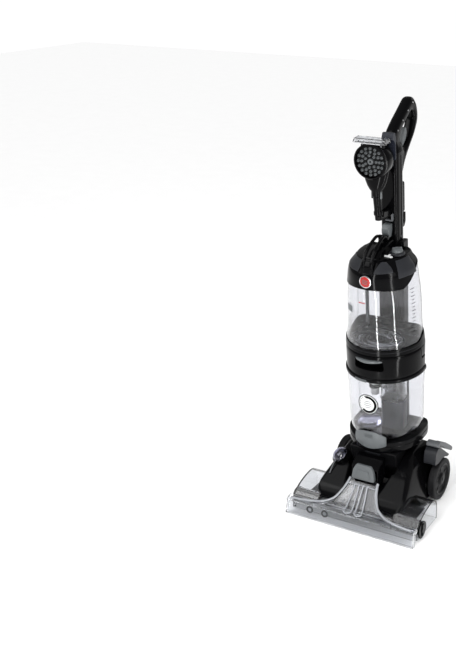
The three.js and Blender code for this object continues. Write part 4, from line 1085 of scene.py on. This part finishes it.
def nozzle():
    """The clear nozzle: fan, lip across the whole width, back plate, ribs, raised edges and bosses. The
    edges, ribs, throat line and the bosses' cores are drawn in pale plastic as painted highlight.
    """
    cover = build("nozzle_top", fan(0, 0, 12), BASE, CLEAR)
    lip = rounded([(-193, 1), (-190, 1), (-184.5, 38.5), (-181, 40.3), (-164, 42.4), (-164, 45.8), (-183, 44),
                   (-187, 42.6)], 2)
    ends = rounded([(-192, 1), (-180, 1), (-172, 34), (-164, 42), (-164, 45.6), (-186, 43)], 2)
    carved(cover, fan(3, 3, 30, -186, -90))
    carved(cover, prism(lip, "side", -192, 192), prism(ends, "side", 189, 192),
           prism(ends, "side", -192, -189), operation="UNION")
    fit(soften(cover, 0.7, 2), "nozzle", "clear_plastic", "nozzle_cover")
    back = build("nozzle_plate", fan(3.4, 9, 12, -175, -92), BASE, CLEAR)
    back_lip = rounded([(-184, 1), (-181, 1), (-173, 31), (-164, 33.6), (-164, 36.6), (-175, 35)], 1.6)
    carved(back, prism(back_lip, "side", -188.6, 188.6), operation="UNION")
    fit(soften(back, 0.6, 2), "nozzle", "clear_plastic", "nozzle_back")

    def on_fan(share, y, lift):
        half = soft(FAN_HALF, y, 5)
        return Vector((share * half, y, soft(FAN_TOP, y, 5) + 2.2 * (1 - share * share) + lift))

    for s, name in SIDES:
        edge = [Vector((s * x, y, z)) for x, y, z in ((182, -180, 45), (150, -178, 46.4), (118, -172, 48))]
        edge += [on_fan(s * 0.96, y, 1.0) for y in steps(-163, -94, 8)]
        add(f"nozzle_edge_{name}", swept(smooth_line(edge, 5), oblong(7, 5, 2.2)), GLINT, "nozzle")
    slope = rotation(81, "X")
    for k, x in enumerate((-118, -72)):
        boss = turned([(6, -0.6), (10, -0.6), (10, 0.9), (9.2, 1.5), (6.8, 1.5), (6, 0.9)], 40, loop=True)
        add(f"nozzle_boss_{k}", moved(boss, (x, -187.2, 28), slope), DARK, "nozzle")
        cone = turned([(0.01, -0.6), (6.1, -0.6), (5.4, 0.9), (3, 1.4), (0.01, 1.4)], 32)
        add(f"boss_core_{k}", moved(cone, (x, -187.2, 28), slope), GLINT, "nozzle")
    pin = moved(turned([(0.01, -0.6), (2.6, -0.6), (2.4, 1.2), (0.01, 1.6)], 24), (-163, -187.2, 28), slope)
    add("nozzle_pin", pin, DARK, "nozzle")
    # Painted shade: a slate sheet inside the throat that stands for the darkness seen through the clear
    # nozzle.
    add("throat_painted_shade", fan(9, 9.4, 11.4, -150, -93), TINT, "nozzle")
    for k, (near, far) in enumerate((((-20, -8), (-22, 2)), ((4, 16), (12, 34)))):
        left = [(along([(-186, far[0]), (-104, near[0])], y), y) for y in steps(-106, -176, 14)]
        right = [(along([(-186, far[1]), (-104, near[1])], y), y) for y in steps(-176, -106, 14)]
        turn = [((far[0] + far[1]) / 2, -186)]
        rib = [Vector((x, y, soft(FAN_TOP, max(y, -172), 5) + 3.0 - 2.2 * (x / 60) ** 2))
               for x, y in left + turn + right]
        add(f"nozzle_rib_{k}", swept(smooth_line(rib, 2), oblong(4.4, 4.4, 1.6)), GLINT, "nozzle")
    throat = [on_fan(t, -107.5, 0.4) for t in steps(-0.92, 0.92, 20)]
    add("nozzle_throat", swept(throat, oblong(3.4, 3, 1.2)), GLINT, "nozzle")
    shield = rounded([(-34, 108), (34, 108), (31, 134), (22, 151), (-22, 151), (-31, 134)], 4)
    latch = build("latch_body", prism(shield, "face", -104, -91.6), BASE, LIGHT)
    carved(latch, prism(((-130, 90), (-130, 210), (-95, 210), (-95, 200), (-104, 108), (-104, 90)),
                        "side", -60, 60))
    fit(soften(latch, 1.2), "latch_nozzle", "light_grey", "nozzle_latch")
    slant = (BASE @ Matrix.Translation((0, -102.6, 124)) @ Matrix.Rotation(-0.097, 4, "X")
             @ Matrix.Translation((0, 0, -124)))
    plate = prism(rounded([(-20, 114), (20, 114), (17, 136), (-17, 136)], 3), "face", -1.4, 1)
    fit(soften(build("latch_panel", plate, slant, LIGHT), 0.8), "latch_nozzle", "light_grey")


# ---------------------------------------------------------------- brushes, wheels, pedal
def brushes():
    """Six meshed gears, each with three rings of tufts; every second one is half a tooth round and paler."""
    for i in range(6):
        pitch, module = 25.2, 4.2
        x = (i - 2.5) * 2 * pitch
        step = math.pi / 6
        outline = []
        for k in range(12):
            middle = (k + (0.5 if i % 2 else 0)) * step
            for r, a in ((pitch - 1.15 * module, -0.33), (pitch + 0.8 * module, -0.13),
                         (pitch + 0.8 * module, 0.13), (pitch - 1.15 * module, 0.33)):
                outline.append(Vector((r * math.cos(middle + a * step), r * math.sin(middle + a * step))))
        wheel = joined(prism(rounded(outline, 0.8, 2), "plan", 22, 30),
                       turned([(4.6, 18), (18.6, 18), (18.6, 22.1), (4.6, 22.1)], 40, loop=True))
        place = (x, -106, 0)
        body = f"brush_{i + 1}"
        add(f"brush_gear_{i + 1}", moved(wheel, place), BRISTLE, body, f"gear_{body}", bevel=0.4, segments=2)
        tufts = []
        for count, radius in ((8, 8.2), (13, 12.6), (18, 16.8)):
            for foot in circle(radius, count):
                tip = foot * (1 + 0.6 / radius)
                tufts.append(loft([[Vector((foot.x + q.x, foot.y + q.y, 18.2)) for q in circle(1.3, 7)],
                                   [Vector((tip.x + 1.25 * q.x, tip.y + 1.25 * q.y, 2.4))
                                    for q in circle(1.3, 7)]]))
        add(f"brush_tufts_{i + 1}", moved(joined(*tufts), place), TUFT if i % 2 else BRISTLE, body)


def edge_brushes():
    """Fixed rows of bristle in both ends of the hood, on a rail."""
    for s, name in SIDES:
        rail = prism(oblong(66, 15, 2.5), "plan", 40, 45)
        add(f"edge_rail_{name}", moved(rail, (s * 151, -128, 0)), SATIN, "base", slot="dark_grey", bevel=0.8)
        tufts = []
        for row, y in enumerate((-133, -128, -123)):
            for x in steps(-30, 30, 14):
                foot = Vector((s * 151 + x + 2 * row, y))
                lean = Vector((0.8 * math.sin(x), 0.8 * math.cos(3 * x)))
                tufts.append(loft([[Vector((foot.x + q.x, foot.y + q.y, 40.5)) for q in circle(1.7, 7)],
                                   [Vector((foot.x + lean.x + 1.9 * q.x, foot.y + lean.y + 1.9 * q.y, 7))
                                    for q in circle(1, 7)]]))
        add(f"edge_tufts_{name}", joined(*tufts), BRISTLE, "base")


def wheels():
    """Hubs with spokes and caps, and tyres with four grooves."""
    hub = [(5.6, 2), (46.6, 2), (46.6, 18), (45.6, 20.4), (43.4, 21.2), (41, 20.2), (39.6, 17.4),
           (37.4, 15.6), (30, 14.8), (21, 15.6), (17.6, 17.8), (15.4, 20.6), (13, 21.9), (6, 22), (5.6, 22)]
    tread = [(46.8, 0), (56.6, 0), (59, 1.4), (60, 3.6)]
    for k in range(4):
        at = 5.2 + 3.1 * k
        tread += [(60, at), (59.1, at + 0.35), (59.1, at + 0.95), (60, at + 1.3)]
    tread += [(60, 17.4), (58.8, 19.8), (56, 21.1), (47.6, 21.1), (46.8, 20)]

    def sided(part, s):
        return on_side(moved(part, (136, AXLE[1], AXLE[2])), s)

    for s, name in SIDES:
        body = f"wheel_{name[0]}"
        add(f"hub_{name}", sided(turned(hub, 96, "side", loop=True), s), SATIN, body, f"wheel_{name}",
            slot="dark_grey", crease=40)
        add(f"tyre_body_{name}", sided(turned(tread, 120, "side", loop=True), s), RUBBER, body,
            f"tyre_{name}", slot="tyre_rubber", crease=30)
        cap = turned([(0.01, 19), (5.5, 19), (5.5, 22.2), (4.6, 22.8), (0.01, 23)], 40, "side")
        add(f"hub_cap_{name}", sided(cap, s), SATIN, body, slot="dark_grey")
        for k in range(5):
            a = 2 * math.pi * k / 5 + 0.3
            spoke = prism(rounded([(20, -3), (39, -4.2), (39, 4.2), (20, 3)], 1.6), "side", 14, 16.4)
            spoke = [Vector((p.x, p.y * math.cos(a) - p.z * math.sin(a),
                             p.y * math.sin(a) + p.z * math.cos(a))) for p in spoke[0]], spoke[1]
            add(f"hub_spoke_{name}_{k}", sided(spoke, s), SATIN, body, slot="dark_grey", bevel=0.8)


def pedal():
    """The arched guard over the right wheel and the ridged recline pedal."""
    arch = rounded([(34, 124), (38, 160), (52, 169), (66, 168), (132, 117), (134, 112)], 8, 6)
    guard = build("guard_arch", prism(arch, "side", 118, 154), BASE, DARK)
    carved(guard, moved(turned([(0.01, 100), (64, 100), (64, 170), (0.01, 170)], 96, "side"),
                        (0, AXLE[1], AXLE[2])))
    fit(soften(guard, 2.4, 4), "base", "dark_grey", "wheel_guard")
    outline = rounded([(46, 174), (48, 184), (62, 188), (108, 162), (150, 134), (155, 124), (148, 120),
                       (138, 126.5), (66, 173.5)], 6, 5)
    add("pedal_body", prism(outline, "side", 119, 156), GREY, "pedal", "release_pedal", bevel=2.2, segments=4)
    for k in range(5):
        y = 112 + 7 * k
        z = along([(108, 162), (150, 134)], y) + 0.5
        ridge = [Vector((x, y, z)) for x in steps(124, 151, 6)]
        add(f"pedal_ridge_{k}", swept(ridge, circle(1.0, 12)), GREY, "pedal")


def indicator():
    """The domed flow window on the left lobe, with its rotor."""
    turn = Matrix.Rotation(0.55, 3, "X") @ Matrix.Rotation(-0.45, 3, "Y")
    place = (-100, -46, 134.5)
    dome = [(0.01, 15.5), (6, 15), (12, 13.4), (17.5, 10), (21.6, 5.4), (23.6, 0), (20.6, 0), (19, 4.4),
            (15.4, 8.8), (9.6, 12), (0.01, 13)]
    add("window_dome", moved(turned(dome, 48), place, turn), SMOKE, "base", "indicator_window", crease=50)
    bezel = [(19, -16), (26.4, -16), (26.4, 0.4), (25.4, 1.6), (24, 1.6), (23.7, 0), (19, -0.4)]
    add("window_bezel", moved(turned(bezel, 48, loop=True), place, turn), BLACK, "base")
    seat = turned([(0.01, -3), (19.2, -3), (19.2, -0.6), (0.01, -0.6)], 40)
    stem = smooth_line([(-104, -66, 126), (-106, -76, 117), (-107, -86, 106), (-107, -94, 98)], 5)
    add("window_stem", swept(stem, circle(1.6, 16)), GREY, "base", slot="clear_plastic")
    add("window_seat", moved(seat, place, turn), DARK, "base", slot="black_gloss")
    blades = [turned([(0.01, 0.5), (3, 0.5), (3, 5), (0.01, 5.4)], 24)]
    for k in range(3):
        blades.append(moved(prism(oblong(16, 2, 0.8), "plan", 1, 4), turn=rotation(60 * k, "Z")))
    add("rotor_blades", moved(joined(*blades), place, turn), GREY, "rotor", "indicator_rotor",
        slot="white_plastic")


def carried():
    """Dresses the CAD nodes that stay."""
    dress("brush_carrier spray_bar base_pan solution_pump", DARK, 0.6)
    dress("base_duct tank_shelf", BLACK, 1.2)
    dress("drive_pinion fan_impeller", LIGHT, 0.3)
    dress("rear_axle brush_motor suction_motor", STEEL, 0.6)


# ---------------------------------------------------------------- studio
EYE = (1096.7, -2278.8, 1512.1)
EYE_DOWN, EYE_ROUND = 21.2, 28.2                # degrees below level, and round from the front to the right
GROUND = 9                                      # half width of the floor in metres


def studio():
    """Camera, pale floor, soft lamps and an even sky."""
    scene = bpy.context.scene
    eye = bpy.data.cameras.new("eye")
    eye.lens = 57.14
    eye.sensor_width = 36
    eye.shift_x = -0.1736
    camera = bpy.data.objects.new("eye", eye)
    camera.location = BASE @ Vector(EYE)
    camera.rotation_euler = (math.radians(90 - EYE_DOWN), 0, math.radians(EYE_ROUND))
    scene.collection.objects.link(camera)
    scene.camera = camera

    ground = bpy.data.meshes.new("ground")
    ground.from_pydata([(x * GROUND, y * GROUND, 0) for x, y in ((-1, -1), (1, -1), (1, 1), (-1, 1))], [],
                       [(0, 1, 2, 3)])
    floor = bpy.data.objects.new("ground", ground)
    scene.collection.objects.link(floor)
    ground.materials.append(FLOOR)

    def lamp(name, place, target, size, power):
        light = bpy.data.lights.new(name, "AREA")
        light.shape = "RECTANGLE"
        light.size, light.size_y = size
        light.energy = power
        obj = bpy.data.objects.new(name, light)
        obj.location = place
        obj.rotation_euler = (Vector(target) - Vector(place)).to_track_quat("-Z", "Y").to_euler()
        obj.visible_camera = False
        scene.collection.objects.link(obj)

    lamp("key", (-1.9, -1.7, 2.3), (0, 0, 0.5), (1.4, 1.4), 16)
    lamp("fill", (2.4, -0.9, 1.7), (0, 0, 0.5), (1.0, 1.6), 8)
    lamp("back", (0.6, 2.4, 1.9), (0, 0, 0.5), (1.6, 1.2), 6)
    lamp("strip_front", (0.12, -0.78, 0.62), (0, 0.06, 0.62), (0.055, 1.3), 4.6)
    lamp("strip_right", (0.70, -0.34, 0.62), (0, 0.06, 0.62), (0.045, 1.3), 4.2)
    sun = bpy.data.lights.new("sun", "SUN")
    sun.energy = 1.15
    sun.angle = math.radians(50)
    obj = bpy.data.objects.new("sun", sun)
    obj.rotation_euler = (math.radians(32), math.radians(-26), 0)
    scene.collection.objects.link(obj)

    world = bpy.data.worlds.new("sky")
    scene.world = world
    world.use_nodes = True
    tree = world.node_tree
    sky = tree.nodes["Background"]
    sky.inputs["Color"].default_value = (1, 1, 1, 1)
    path = tree.nodes.new("ShaderNodeLightPath")
    total = None
    for ray, level in (("Is Camera Ray", 1.02), ("Is Diffuse Ray", 0.82), ("Is Glossy Ray", 0.35),
                       ("Is Transmission Ray", 0.60)):
        part = tree.nodes.new("ShaderNodeMath")
        part.operation = "MULTIPLY_ADD"
        part.inputs[1].default_value = level
        part.inputs[2].default_value = 0.0
        tree.links.new(path.outputs[ray], part.inputs[0])
        if total:
            tree.links.new(total, part.inputs[2])
        total = part.outputs["Value"]
    tree.links.new(total, sky.inputs["Strength"])
    scene.view_settings.view_transform = "Standard"


studio()
tanks()
tank_marks()
ring_sticker()
clean_tank_trim()
emblem()
strap()
filler()
lid()
tank_insides()
tank_latch()
spine()
foot()
post()
handle()
hand_tool()
for side_sign, side_name in SIDES:
    shell_lobe(side_sign, side_name)
hood()
nozzle()
brushes()
edge_brushes()
wheels()
pedal()
indicator()
carried()

bpy.context.view_layer.update()
